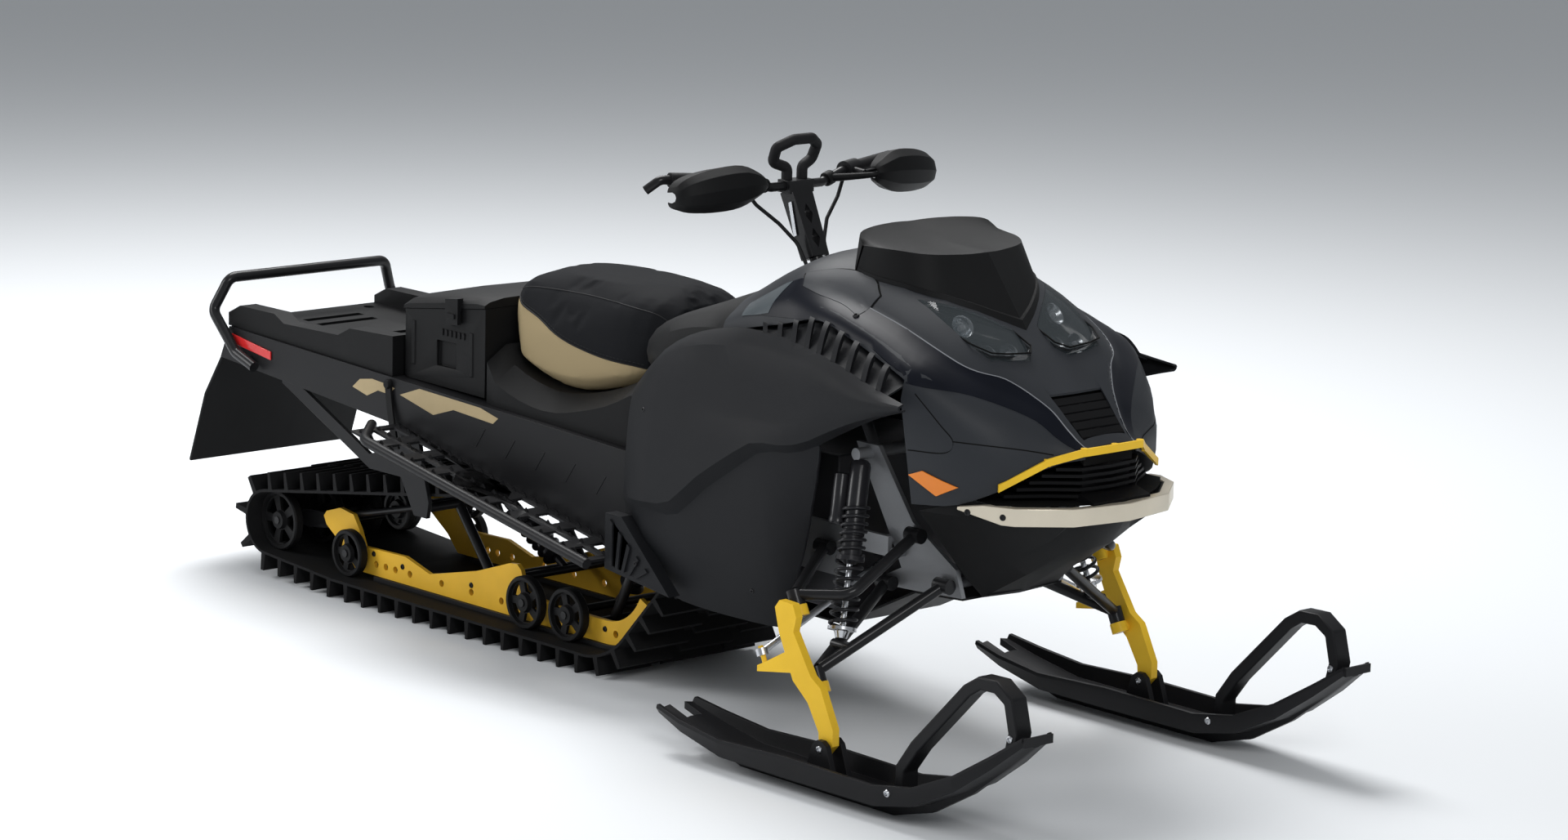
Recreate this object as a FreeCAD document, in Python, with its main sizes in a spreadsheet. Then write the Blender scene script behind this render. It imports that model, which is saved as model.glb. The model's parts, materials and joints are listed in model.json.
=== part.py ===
import FreeCAD, Part
import math
import os

# Wide-track utility snowmobile, millimetres.
# +X points forward, +Y to the rider's left, +Z up.
# The origin lies on the ground under the middle of the machine's length.

Vec = FreeCAD.Vector
doc = FreeCAD.newDocument("snowmobile")

# Driving dimensions: each size is one named cell of the sheet
SIZES = [
    ("overall_length", 3414),
    ("ski_stance", 1020),
    ("running_gap", 0.3),
    ("track_width", 508),
    ("belt_thickness", 7),
    ("lug_height", 45),
    ("lug_count", 54),
    ("lug_base", 16),
    ("lug_tip", 9),
    ("sprocket_x", 195),
    ("sprocket_z", 392),
    ("sprocket_radius", 82),
    ("rail_bend_x", -95),
    ("rail_bend_radius", 205),
    ("kink_wheel_x", -1089),
    ("kink_wheel_radius", 62),
    ("rear_wheel_x", -1382),
    ("rear_wheel_z", 150),
    ("rear_wheel_radius", 79),
    ("idler_radius", 67),
    ("idler_front_x", -209),
    ("idler_second_x", -372),
    ("carrier_x", -985),
    ("carrier_radius", 53),
    ("carrier_y", 118),
    ("link_y", 148),
    ("wheel_width", 30),
    ("wheel_y", 199),
    ("axle_radius", 10),
    ("rail_y", 168),
    ("rail_thickness", 12),
    ("rail_height", 58),
    ("rail_hole_radius", 9),
    ("shoe_height", 12),
    ("shoe_width", 30),
    ("tunnel_clearance", 19),
    ("tunnel_gauge", 4),
    ("board_width", 156),
    ("board_thickness", 6),
    ("board_front_x", 118),
    ("board_front_z", 336),
    ("board_rear_x", -795),
    ("board_rear_z", 503),
    ("edge_tube_radius", 13),
    ("deck_thickness", 14),
    ("anchor_spacing_x", 420),
    ("anchor_spacing_y", 330),
    ("anchor_radius", 14),
    ("hoop_radius", 14),
    ("flap_thickness", 8),
    ("box_half_width", 236),
    ("box_wall", 5),
    ("body_wall", 5),
    ("arm_tube_radius", 13),
    ("kingpin_y", 478),
    ("kingpin_radius", 8),
    ("kingpin_clearance", 0.3),
    ("boss_radius", 20),
    ("eye_height", 36),
    ("spindle_thickness", 20),
    ("ski_pivot_x", 1062),
    ("ski_pivot_z", 105),
    ("ski_bolt_radius", 8),
    ("ski_half_width", 78),
    ("ski_wall", 10),
    ("tie_rod_radius", 8),
    ("post_radius", 16),
    ("boot_radius", 46),
    ("bar_radius", 11),
    ("grip_radius", 17),
    ("strap_radius", 13),
    ("cable_radius", 4.5),
    ("stud_radius", 6),
    ("joint_gap", 1),
    ("shock_radius", 22),
    ("spring_radius", 36),
    ("spring_wire", 5),
    ("reservoir_radius", 19),
]

sheet = doc.addObject("Spreadsheet::Sheet", "sizes")
for row, (alias, value) in enumerate(SIZES, start=1):
    sheet.set("A%d" % row, alias)
    sheet.set("B%d" % row, str(value))
    sheet.setAlias("B%d" % row, alias)
doc.recompute()


def size(alias):
    """Value of one driving dimension."""
    return float(sheet.get(alias))


# Sub-parts are collected here, each under the name of its file
NODES = []


def keep(obj, name):
    """Name a finished sub-part."""
    obj.Label = name
    NODES.append(obj)
    return obj


def made(shape, name):
    """A feature whose shape is worked out by the functions below."""
    obj = doc.addObject("Part::Feature", name)
    obj.Shape = shape
    return obj


def plane_of(body, role):
    """Origin plane of a body."""
    return next(f for f in body.Origin.OriginFeatures if f.Role == role)


def draw(sketch, loops):
    """Closed outlines in a sketch: lists of corners, or circles given as (x, y, radius)."""
    for loop in loops:
        if isinstance(loop, tuple):
            x, y, radius = loop
            circle = Part.Circle(Vec(x, y, 0), Vec(0, 0, 1), radius)
            sketch.addGeometry(circle, False)
            continue
        for start, end in zip(loop, loop[1:] + loop[:1]):
            line = Part.LineSegment(Vec(*start, 0), Vec(*end, 0))
            sketch.addGeometry(line, False)


def padded(name, role, loops, length, symmetric=True):
    """A sketched outline padded by a named size."""
    body = doc.addObject("PartDesign::Body", name)
    sketch = body.newObject("Sketcher::SketchObject", name + "_outline")
    sketch.AttachmentSupport = (plane_of(body, role), [""])
    sketch.MapMode = "FlatFace"
    draw(sketch, loops)
    pad = body.newObject("PartDesign::Pad", name + "_pad")
    pad.Profile = sketch
    pad.setExpression("Length", length)
    pad.Midplane = symmetric
    doc.recompute()
    return body


def revolved(name, profile):
    """A profile in the body's XY plane turned once round its Y axis."""
    body = doc.addObject("PartDesign::Body", name)
    sketch = body.newObject("Sketcher::SketchObject", name + "_outline")
    sketch.AttachmentSupport = (plane_of(body, "XY_Plane"), [""])
    sketch.MapMode = "FlatFace"
    draw(sketch, [profile])
    turn = body.newObject("PartDesign::Revolution", name + "_turn")
    turn.Profile = sketch
    turn.ReferenceAxis = (sketch, ["V_Axis"])
    turn.Angle = 360
    doc.recompute()
    return body


def at(obj, x=0, y=0, z=0, axis=None, angle=0):
    """Place an object; numbers in millimetres, or expressions of named sizes as text."""
    obj.Placement = FreeCAD.Placement(Vec(0, 0, 0), FreeCAD.Rotation(axis or Vec(0, 0, 1), angle))
    for letter, value in zip("xyz", (x, y, z)):
        if isinstance(value, str):
            obj.setExpression("Placement.Base." + letter, value)
        else:
            obj.setExpression("Placement.Base." + letter, str(value))
    return obj


def group(objects, name):
    """Like pieces that don't touch, kept as one sub-part."""
    compound = doc.addObject("Part::Compound", name)
    compound.Links = objects
    return keep(compound, name)


# Shapes that no sketch feature gives: bent tubes, shells and lofted skins


def polygon(points):
    """A closed wire through 3-D points."""
    corners = [Vec(*p) for p in points]
    return Part.makePolygon(corners + corners[:1])


def prism(points, way):
    """A flat closed outline pushed along a vector."""
    return Part.Face(polygon(points)).extrude(Vec(*way))


def rod(start, end, radius):
    """A straight round bar between two points."""
    a, b = Vec(*start), Vec(*end)
    return Part.makeCylinder(radius, (b - a).Length, a, b - a)


def fused(shapes):
    """One solid from touching shapes, with its flat faces joined up."""
    whole = shapes[0].multiFuse(shapes[1:]) if len(shapes) > 1 else shapes[0]
    return whole.removeSplitter()


def bent(points, bend):
    """A path of straight runs with an arc at each inner corner."""
    p = [Vec(*q) for q in points]
    edges = []
    start = p[0]
    for before, corner, after in zip(p, p[1:], p[2:]):
        u, w = (before - corner).normalize(), (after - corner).normalize()
        half = u.getAngle(w) / 2
        back = bend / math.tan(half)
        a, b = corner + u * back, corner + w * back
        middle = corner + (u + w).normalize() * (bend / math.sin(half) - bend)
        if (a - start).Length > 1e-3:
            edges.append(Part.LineSegment(start, a).toShape())
        edges.append(Part.Arc(a, middle, b).toShape())
        start = b
    edges.append(Part.LineSegment(start, p[-1]).toShape())
    return Part.Wire(edges)


def tube(points, radius, bend):
    """A round bar bent along a path."""
    path = bent(points, bend)
    first = path.Edges[0]
    ring = Part.Wire(Part.makeCircle(radius, first.valueAt(first.FirstParameter),
                                     first.tangentAt(first.FirstParameter)))
    return path.makePipeShell([ring], True, False)


def thick(line, wall):
    """A closed outline: an open line of 2-D points and its copy set off to the right by a wall."""
    inner = []
    for i, (x, y) in enumerate(line):
        ways = []
        for a, b in ((i - 1, i), (i, i + 1)):
            if 0 <= a and b < len(line):
                dx, dy = line[b][0] - line[a][0], line[b][1] - line[a][1]
                run = math.hypot(dx, dy)
                ways.append((dy / run, -dx / run))
        nx, ny = sum(w[0] for w in ways), sum(w[1] for w in ways)
        run = math.hypot(nx, ny)
        nx, ny = nx / run, ny / run
        reach = wall / (nx * ways[0][0] + ny * ways[0][1])
        inner.append((x + nx * reach, y + ny * reach))
    return list(line) + inner[::-1]


def mirrored(half):
    """A line across the machine from its left half: (y, z) points from the edge to the middle."""
    return [(y, z) for y, z in half] + [(-y, z) for y, z in half[::-1] if y != 0]


def patch(a, b, c, d):
    """Faces over one cell of a skin: one if it is flat, else two along its shorter diagonal."""
    flat = abs((b - a).cross(c - a).dot(d - a)) < 1e-6
    if flat and (b - a).Length > 1e-6 and (d - c).Length > 1e-6:
        corners = [[a, b, d, c]]
    elif (a - d).Length < (b - c).Length:
        corners = [[a, b, d], [a, d, c]]
    else:
        corners = [[a, b, c], [b, d, c]]
    return [Part.Face(Part.makePolygon(spots + spots[:1])) for spots in corners]


def skin(stations, wall=None):
    """A faceted body along X through sections; with a wall, each section is an open line."""
    rows = []
    for x, line in stations:
        outline = thick(line, wall) if wall else line
        rows.append([Vec(x, y, z) for y, z in outline])
    faces = []
    for row, following in zip(rows, rows[1:]):
        for i in range(len(row)):
            j = (i + 1) % len(row)
            faces += patch(row[i], row[j], following[i], following[j])
    for row in (rows[0], rows[-1]):
        faces.append(Part.Face(Part.makePolygon(row + row[:1])))
    solid = Part.makeSolid(Part.makeShell(faces))
    if solid.Volume < 0:
        solid.reverse()
    return solid


def eased(spots, values, x):
    """Smooth curve through values at rising spots, which never swings past them."""
    gaps = [b - a for a, b in zip(spots, spots[1:])]
    rates = [(b - a) / g for a, b, g in zip(values, values[1:], gaps)]
    slopes = [rates[0]]
    for a, b, ga, gb in zip(rates, rates[1:], gaps, gaps[1:]):
        wa, wb = 2 * gb + ga, gb + 2 * ga
        slopes.append((wa + wb) / (wa / a + wb / b) if a * b > 0 else 0)
    slopes.append(rates[-1])
    i = 0
    while i < len(gaps) - 1 and x > spots[i + 1]:
        i += 1
    t = (x - spots[i]) / gaps[i]
    return (values[i] * (1 + 2 * t) * (1 - t) ** 2 + slopes[i] * gaps[i] * t * (1 - t) ** 2
            + values[i + 1] * t * t * (3 - 2 * t) + slopes[i + 1] * gaps[i] * t * t * (t - 1))


def section(stations, x):
    """Points of a section anywhere between the drawn stations."""
    spots = [s[0] for s in stations]
    points = []
    for j in range(len(stations[0][1])):
        points.append(tuple(eased(spots, [s[1][j][k] for s in stations], x) for k in (0, 1)))
    return points


def rounded(line, parts, sharp):
    """A line of 2-D points rounded through them, with corners left at the sharp ones."""
    count = len(line)
    result = [line[0]]
    for i in range(count - 1):
        a, b = line[i], line[i + 1]
        before = line[i - 1] if i > 0 and i not in sharp else None
        after = line[i + 2] if i + 2 < count and i + 1 not in sharp else None
        chord = math.dist(a, b)
        way = [(q - p) / chord for p, q in zip(a, b)]
        start, end = way, way
        if before:
            run = math.dist(before, b)
            start = [(q - p) / run for p, q in zip(before, b)]
        if after:
            run = math.dist(a, after)
            end = [(q - p) / run for p, q in zip(a, after)]
        for k in range(1, parts + 1):
            t = k / parts
            h = ((1 + 2 * t) * (1 - t) ** 2, t * (1 - t) ** 2 * chord, t * t * (3 - 2 * t),
                 t * t * (t - 1) * chord)
            result.append(tuple(h[0] * a[j] + h[1] * start[j] + h[2] * b[j] + h[3] * end[j]
                                for j in (0, 1)))
    return result


def spaced(first, last, step):
    """Evenly spaced places from one to another, about a step apart."""
    count = max(1, round(abs(last - first) / step))
    return [first + (last - first) * i / count for i in range(count + 1)]


def fair(stations, step, parts, sharp=()):
    """Finer sections: smooth along the machine, and rounded across it between the sharp points."""
    places = spaced(stations[0][0], stations[-1][0], step)
    return [(x, rounded(section(stations, x), parts, sharp)) for x in places]


def spread(stations):
    """Sections whose outer points follow the tunnel's side."""
    out = tunnel_y - DRAWN_SIDE
    return [(x, [(y + out if y > 200 else y, z) for y, z in line]) for x, line in stations]


def grown(stations, out):
    """Sections of a skin set outwards by a distance."""
    return [(x, mirrored([(y + out if y else 0, z + (out if y < 280 else 0)) for y, z in half]))
            for x, half in stations]


def sides(make):
    """Right (-1) and left (+1) copies of a piece."""
    return [make(-1), make(1)]


def flipped(shape, side):
    """A shape drawn for the left side, mirrored when the right one is asked for."""
    if side > 0:
        return shape
    return shape.mirror(Vec(0, 0, 0), Vec(0, 1, 0))


# Half width of the tunnel, which leaves the track its clearance on each side
tunnel_y = size("track_width") / 2 + size("tunnel_clearance")

# Half width of the tunnel that the body's sections were drawn round
DRAWN_SIDE = 273

# The track's loop: circles that the belt's inner face wraps
lug = size("lug_height")
belt = size("belt_thickness")
ground = lug + belt
LOOP = [
    (size("sprocket_x"), size("sprocket_z"), size("sprocket_radius")),
    (size("rear_wheel_x"), size("rear_wheel_z"), size("rear_wheel_radius")),
    (size("kink_wheel_x"), ground + size("kink_wheel_radius"), size("kink_wheel_radius")),
    (size("rail_bend_x"), ground + size("rail_bend_radius"), size("rail_bend_radius")),
]


def loop_runs(grow):
    """Lines and arcs of a belt line set out from the wrapped circles."""
    tangents = []
    for (xa, za, ra), (xb, zb, rb) in zip(LOOP, LOOP[1:] + LOOP[:1]):
        dx, dz = xb - xa, zb - za
        run = math.hypot(dx, dz)
        turn = math.asin((ra - rb) / run)
        heading = math.atan2(dz, dx)
        side = heading - math.pi / 2 + turn
        way = (math.cos(side), math.sin(side))
        tangents.append(((xa + way[0] * (ra + grow), za + way[1] * (ra + grow)),
                         (xb + way[0] * (rb + grow), zb + way[1] * (rb + grow)), side))
    runs = []
    for i, (start, end, side) in enumerate(tangents):
        runs.append(("line", start, end))
        x, z, r = LOOP[(i + 1) % len(LOOP)]
        following = tangents[(i + 1) % len(tangents)][2]
        sweep = (following - side) % (2 * math.pi)
        runs.append(("arc", (x, z), r + grow, side, sweep))
    return runs


def loop_length(runs):
    """Length of a belt line."""
    total = 0
    for run in runs:
        total += math.dist(run[1], run[2]) if run[0] == "line" else abs(run[4]) * run[2]
    return total


def loop_point(runs, way, out=0):
    """Point at a distance along a belt line, set off outwards."""
    way %= loop_length(runs)
    for run in runs:
        length = math.dist(run[1], run[2]) if run[0] == "line" else abs(run[4]) * run[2]
        if way > length:
            way -= length
            continue
        share = way / length
        if run[0] == "line":
            (xa, za), (xb, zb) = run[1], run[2]
            nx, nz = (zb - za) / length, -(xb - xa) / length
            return xa + (xb - xa) * share + nx * out, za + (zb - za) * share + nz * out
        angle = run[3] + run[4] * share
        reach = run[2] + out
        return run[1][0] + math.cos(angle) * reach, run[1][1] + math.sin(angle) * reach
    return loop_point(runs, 0, out)


def loop_wire(grow, y):
    """The smooth closed wire of a belt line at one place across the machine."""
    edges = []
    for run in loop_runs(grow):
        if run[0] == "line":
            edges.append(Part.LineSegment(Vec(run[1][0], y, run[1][1]),
                                          Vec(run[2][0], y, run[2][1])).toShape())
        else:
            (x, z), r, start, sweep = run[1:]
            if abs(sweep) < 1e-6:
                continue
            spots = [Vec(x + r * math.cos(start + sweep * k), y, z + r * math.sin(start + sweep * k))
                     for k in (0, 0.5, 1)]
            edges.append(Part.Arc(*spots).toShape())
    return Part.Wire(edges)


def lugged_wire(y, phase):
    """The belt's outer line with its lugs at one place across the machine."""
    runs = loop_runs(belt)
    length = loop_length(runs)
    count = int(size("lug_count"))
    foot, tip = size("lug_base") / 2, size("lug_tip") / 2
    edges = []
    for i in range(count):
        middle = length * (i + phase) / count
        following = length * (i + 1 + phase) / count
        spots = [loop_point(runs, middle - foot), loop_point(runs, middle - tip, lug),
                 loop_point(runs, middle + tip, lug), loop_point(runs, middle + foot)]
        spots = [Vec(x, y, z) for x, z in spots]
        for a, b in zip(spots, spots[1:]):
            edges.append(Part.LineSegment(a, b).toShape())
        x, z = loop_point(runs, (middle + following) / 2)
        end = loop_point(runs, following - foot)
        end = Vec(end[0], y, end[1])
        half = Vec(x, y, z)
        if (half - (spots[-1] + end) * 0.5).Length < 0.01:
            edges.append(Part.LineSegment(spots[-1], end).toShape())
        else:
            edges.append(Part.Arc(spots[-1], half, end).toShape())
    return Part.Wire(edges)


def make_track():
    """Belt with staggered rows of lugs: a middle band and two outer ones."""
    width = size("track_width")
    band = width / 3
    bands = []
    for i, phase in enumerate((0.0, 0.5, 0.0)):
        y = -width / 2 + band * i
        outer = Part.Face(lugged_wire(y, phase)).extrude(Vec(0, band, 0))
        bands.append(outer)
    inner = Part.Face(loop_wire(0, -width / 2 - 5)).extrude(Vec(0, width + 10, 0))
    return fused(bands).cut(inner)


keep(made(make_track(), "track"), "track")


# Skid frame: rails, slide shoes, wheels, arms and shocks inside the track
shoe = size("shoe_height")
bend_x = size("rail_bend_x")
bend_z = ground + size("rail_bend_radius")
rail_foot = ground + shoe


def make_rail(side):
    """One rail: a flat bar with a curved tip and a raised rear end."""
    outer = size("rail_bend_radius") - shoe
    inner = outer - size("rail_height")
    top = bend_z - inner
    tip = math.radians(-25)
    mid = math.radians(-57)
    points = {}
    for name, r, a in (("tip_out", outer, tip), ("mid_out", outer, mid),
                       ("tip_in", inner, tip), ("mid_in", inner, mid)):
        points[name] = Vec(bend_x + r * math.cos(a), 0, bend_z + r * math.sin(a))
    low = Vec(bend_x, 0, rail_foot)
    high = Vec(bend_x, 0, top)
    rear = [(-1096, rail_foot), (-1140, rail_foot + 45), (-1222, 162), (-1234, 184), (-1222, 198),
            (-1165, 216), (-1108, 208), (-1082, 172), (-1062, 132), (-890, 136), (-790, 109),
            (-757, 116), (-600, 152), (-470, 196), (-440, 199), (-424, 186), (-408, 136), (-300, top)]
    rear = [Vec(x, 0, z) for x, z in rear]
    edges = [Part.Arc(low, points["mid_out"], points["tip_out"]).toShape(),
             Part.LineSegment(points["tip_out"], points["tip_in"]).toShape(),
             Part.Arc(points["tip_in"], points["mid_in"], high).toShape()]
    corners = [high] + rear[::-1] + [low]
    for a, b in zip(corners, corners[1:]):
        edges.append(Part.LineSegment(a, b).toShape())
    face = Part.Face(Part.Wire(edges))
    wall = size("rail_thickness")
    solid = face.extrude(Vec(0, wall, 0))
    solid.translate(Vec(0, side * size("rail_y") - wall / 2, 0))
    holes = [rod((x, -400, rail_foot + 30), (x, 400, rail_foot + 30), size("rail_hole_radius"))
             for x in (-1010, -970, -930, -870, -740, -620, -500, -60, -20)]
    return solid.cut(Part.makeCompound(holes))


def make_shoe(side):
    """The plastic strip under one rail, which the track's clips slide on."""
    outer = size("rail_bend_radius") - 0.3
    inner = size("rail_bend_radius") - shoe + 0.3
    tip, mid = math.radians(-27), math.radians(-58)
    spots = {}
    for name, r, a in (("a", outer, tip), ("b", outer, mid), ("c", inner, tip), ("d", inner, mid)):
        spots[name] = Vec(bend_x + r * math.cos(a), 0, bend_z + r * math.sin(a))
    low = Vec(bend_x, 0, ground + 0.3)
    high = Vec(bend_x, 0, rail_foot - 0.3)
    rear_low, rear_high = Vec(-1010, 0, ground + 0.3), Vec(-1010, 0, rail_foot - 0.3)
    edges = [Part.Arc(low, spots["b"], spots["a"]).toShape(),
             Part.LineSegment(spots["a"], spots["c"]).toShape(),
             Part.Arc(spots["c"], spots["d"], high).toShape(),
             Part.LineSegment(high, rear_high).toShape(),
             Part.LineSegment(rear_high, rear_low).toShape(),
             Part.LineSegment(rear_low, low).toShape()]
    wide = size("shoe_width")
    solid = Part.Face(Part.Wire(edges)).extrude(Vec(0, wide, 0))
    solid.translate(Vec(0, side * size("rail_y") - wide / 2, 0))
    return solid


group([made(make_rail(s), "rail") for s in (-1, 1)], "rails")
group([made(make_shoe(s), "shoe") for s in (-1, 1)], "slide_shoes")


def wheel(name, radius):
    """A rubber-tyred idler: hub, web with five openings and rim turned round its axle."""
    wide = size("wheel_width") / 2
    hole = size("axle_radius") + size("running_gap")
    body = revolved(name, [
        (hole, -wide), (hole + 12, -wide), (hole + 15, -4), (radius - 13, -4), (radius - 11, -wide + 2),
        (radius - 3, -wide + 2), (radius, -wide + 6), (radius, wide - 6), (radius - 3, wide - 2),
        (radius - 11, wide - 2), (radius - 13, 4), (hole + 15, 4), (hole + 12, wide), (hole, wide)])
    near, far = hole + 18, radius - 16
    windows = []
    for i in range(5):
        middle = 2 * math.pi * i / 5
        corners = [(near, -0.30), (far, -0.42), (far + 1, 0), (far, 0.42), (near, 0.30)]
        windows.append([(r * math.cos(middle + a), r * math.sin(middle + a)) for r, a in corners])
    sketch = body.newObject("Sketcher::SketchObject", name + "_windows")
    sketch.AttachmentSupport = (plane_of(body, "XZ_Plane"), [""])
    sketch.MapMode = "FlatFace"
    draw(sketch, windows)
    pocket = body.newObject("PartDesign::Pocket", name + "_pocket")
    pocket.Profile = sketch
    pocket.Type = 1
    pocket.Midplane = True
    doc.recompute()
    return body


def placed_wheel(name, radius, x, y, z):
    """A wheel whose axle lies across the machine."""
    return at(wheel(name, radius), x, y, z)


idler = size("idler_radius") - 0.3
kink = size("kink_wheel_radius") - 0.3
idler_z = ground + size("idler_radius")
kink_z = ground + size("kink_wheel_radius")
wheel_y = size("wheel_y")
carrier_runs = loop_runs(0)


def carrier_z():
    """Height of the upper idlers, which the belt's upper run passes over."""
    (xa, za), (xb, zb) = carrier_runs[0][1], carrier_runs[0][2]
    share = (size("carrier_x") - xa) / (xb - xa)
    lean = math.hypot(xb - xa, zb - za) / abs(xb - xa)
    return za + (zb - za) * share - (size("carrier_radius") + 0.3) * lean


idlers = []
for side in (-1, 1):
    for x, z, r in ((size("idler_front_x"), idler_z, idler), (size("idler_second_x"), idler_z, idler),
                    (size("kink_wheel_x"), kink_z, kink)):
        idlers.append(placed_wheel("idler", r, x, side * wheel_y, z))
    idlers.append(placed_wheel("carrier", size("carrier_radius"), size("carrier_x"),
                               side * size("carrier_y"), carrier_z()))
group(idlers, "idler_wheels")

rear_wheels = [placed_wheel("rear_wheel", size("rear_wheel_radius") - 0.3, size("rear_wheel_x"), y,
                            size("rear_wheel_z")) for y in (-wheel_y, -62, 62, wheel_y)]
group(rear_wheels, "rear_wheels")


def make_axles():
    """Axles of the skid's wheels, with the arms that hold the rear one."""
    r = size("axle_radius")
    reach = wheel_y + size("wheel_width") / 2 + 3
    solids = []
    for x, z in ((size("idler_front_x"), idler_z), (size("idler_second_x"), idler_z),
                 (size("kink_wheel_x"), kink_z)):
        for side in (-1, 1):
            inner = size("rail_y") + size("rail_thickness") / 2 + 0.3
            solids.append(rod((x, side * inner, z), (x, side * reach, z), r))
    x, z = size("rear_wheel_x"), size("rear_wheel_z")
    axle = rod((x, -reach, z), (x, reach, z), r)
    arms = []
    for side in (-1, 1):
        y = side * 130
        outline = [(-1190, 150), (-1190, 182), (-1350, 176), (-1404, 168), (-1404, 132), (-1350, 128)]
        arms.append(prism([(px, y - 6, pz) for px, pz in outline], (0, 12, 0)))
    bar = rod((-1180 - 22, -168 + 6.3, 166), (-1202, 168 - 6.3, 166), 8)
    solids.append(fused([axle, bar] + arms))
    return Part.makeCompound(solids)


REAR_PIVOT = (-706, 305)
SHOCK_FEET = [(-262, 110), (-455, 160)]


def make_skid_arms():
    """Front and rear swing arms from the tunnel down to the rails."""
    half = tunnel_y - size("tunnel_gauge") - 0.3
    inner = size("rail_y") - size("rail_thickness") / 2 - 0.3
    solids = []
    link_y = size("link_y")
    for top, foot, legs in (((20, 400), (-130, 110), 120), (REAR_PIVOT, (-564, 134), link_y)):
        reach = half if top[0] > 0 else half - 12.3
        cross = rod((top[0], -reach, top[1]), (top[0], reach, top[1]), 12)
        low = rod((foot[0], -inner, foot[1]), (foot[0], inner, foot[1]), 12)
        bars = [rod((top[0], s * legs, top[1]), (foot[0], s * legs, foot[1]), 13) for s in (-1, 1)]
        solids.append(fused([cross, low] + bars))
    links = []
    for s in (-1, 1):
        links.append(rod((REAR_PIVOT[0], s * link_y, REAR_PIVOT[1]), (-1150, s * link_y, 196), 9))
    axle = rod((size("carrier_x"), -link_y, carrier_z()), (size("carrier_x"), link_y, carrier_z()),
               size("axle_radius"))
    tie = rod((-1150, -inner, 196), (-1150, inner, 196), 9)
    solids[-1] = fused([solids[-1], axle, tie] + links)
    for x, z in SHOCK_FEET:
        solids.append(rod((x, -inner, z), (x, inner, z), 10))
    return solids


group([made(s, "skid_arm") for s in make_skid_arms()] + [made(make_axles(), "axles")], "skid_arms")


def coil_shock(top, foot, body, spring, wire, coils, ends):
    """A coil-over damper: body, spring plates, stacked coils and rod turned round its axis."""
    a, b = Vec(*top), Vec(*foot)
    way = (b - a)
    length = way.Length
    start, end = length * 0.30, length * 0.84
    pitch = (end - start) / coils
    neck = body * 0.55
    outline = [(0, ends[0]), (neck, ends[0]), (neck, ends[0] + 8), (body, ends[0] + 12), (body, start),
               (spring - wire * 2, start)]
    for i in range(coils):
        z = start + pitch * i
        outline += [(spring - wire, z + pitch * 0.15), (spring + wire, z + pitch * 0.5),
                    (spring - wire, z + pitch * 0.85)]
    low = length - ends[1]
    outline += [(spring - wire * 2, end), (body * 0.6, end), (body * 0.6, low), (0, low)]
    face = Part.Face(polygon([(r, 0, z) for r, z in outline]))
    solid = face.revolve(Vec(0, 0, 0), Vec(0, 0, 1), 360)
    solid.Placement = FreeCAD.Placement(a, FreeCAD.Rotation(Vec(0, 0, 1), way))
    return solid


def make_skid_shocks():
    """Track shocks between the arms and the rails."""
    solids = []
    tops = [(20, 400), REAR_PIVOT]
    for (xa, za), (xb, zb) in zip(tops, SHOCK_FEET):
        solids.append(coil_shock((xa, 0, za), (xb, 0, zb), 17, 28, 5, 6, (12.5, 10.5)))
    return Part.makeCompound(solids)


keep(made(make_skid_shocks(), "skid_shocks"), "skid_shocks")


def make_drive():
    """Drive shaft across the tunnel's front with its two sprockets."""
    half = tunnel_y - size("tunnel_gauge") - 0.3
    x, z = size("sprocket_x"), size("sprocket_z")
    shaft = rod((x, -half, z), (x, half, z), 16)
    parts = [shaft]
    for side in (-1, 1):
        y = side * 100
        parts.append(Part.makeCylinder(size("sprocket_radius") - 4, 40, Vec(x, y - 20, z), Vec(0, 1, 0)))
    return fused(parts)


keep(made(make_drive(), "drive_shaft"), "drive_shaft")


# Tunnel, boards, deck and tail
gauge = size("tunnel_gauge")
TUNNEL_TOP = [(340, 572), (-600, 612), (-1516, 652)]
TUNNEL_TAIL = (-1554, 566)


def tunnel_top(x):
    """Height of the tunnel's upper face."""
    for (xa, za), (xb, zb) in zip(TUNNEL_TOP, TUNNEL_TOP[1:]):
        if xb <= x <= xa:
            break
    return za + (zb - za) * (x - xa) / (xb - xa)


def anchor_bores(radius):
    """Upright columns where the deck's four anchor sockets go."""
    bores = []
    for x in (-1070, -1070 - size("anchor_spacing_x")):
        for y in (-1, 1):
            place = Vec(x, y * size("anchor_spacing_y") / 2, 500)
            bores.append(Part.makeCylinder(radius, 400, place))
    return Part.makeCompound(bores)


def make_tunnel():
    """Folded sheet over the track: top and two sides."""
    foot = [TUNNEL_TAIL, (size("board_rear_x"), size("board_rear_z")),
            (size("board_front_x"), size("board_front_z")), (340, 330)]
    outline = TUNNEL_TOP + foot
    outer = prism([(x, -tunnel_y, z) for x, z in outline], (0, 2 * tunnel_y, 0))
    hollow = [(x + (40 if x > 0 else gauge if x < -1500 else 0), z - gauge) for x, z in TUNNEL_TOP]
    hollow += [(TUNNEL_TAIL[0] + gauge, TUNNEL_TAIL[1]), (TUNNEL_TAIL[0] + gauge, 200), (400, 200)]
    inner = prism([(x, -tunnel_y + gauge, z) for x, z in hollow], (0, 2 * (tunnel_y - gauge), 0))
    return outer.cut(inner).cut(anchor_bores(size("anchor_radius") + 2))


keep(made(make_tunnel(), "tunnel"), "tunnel")


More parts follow.
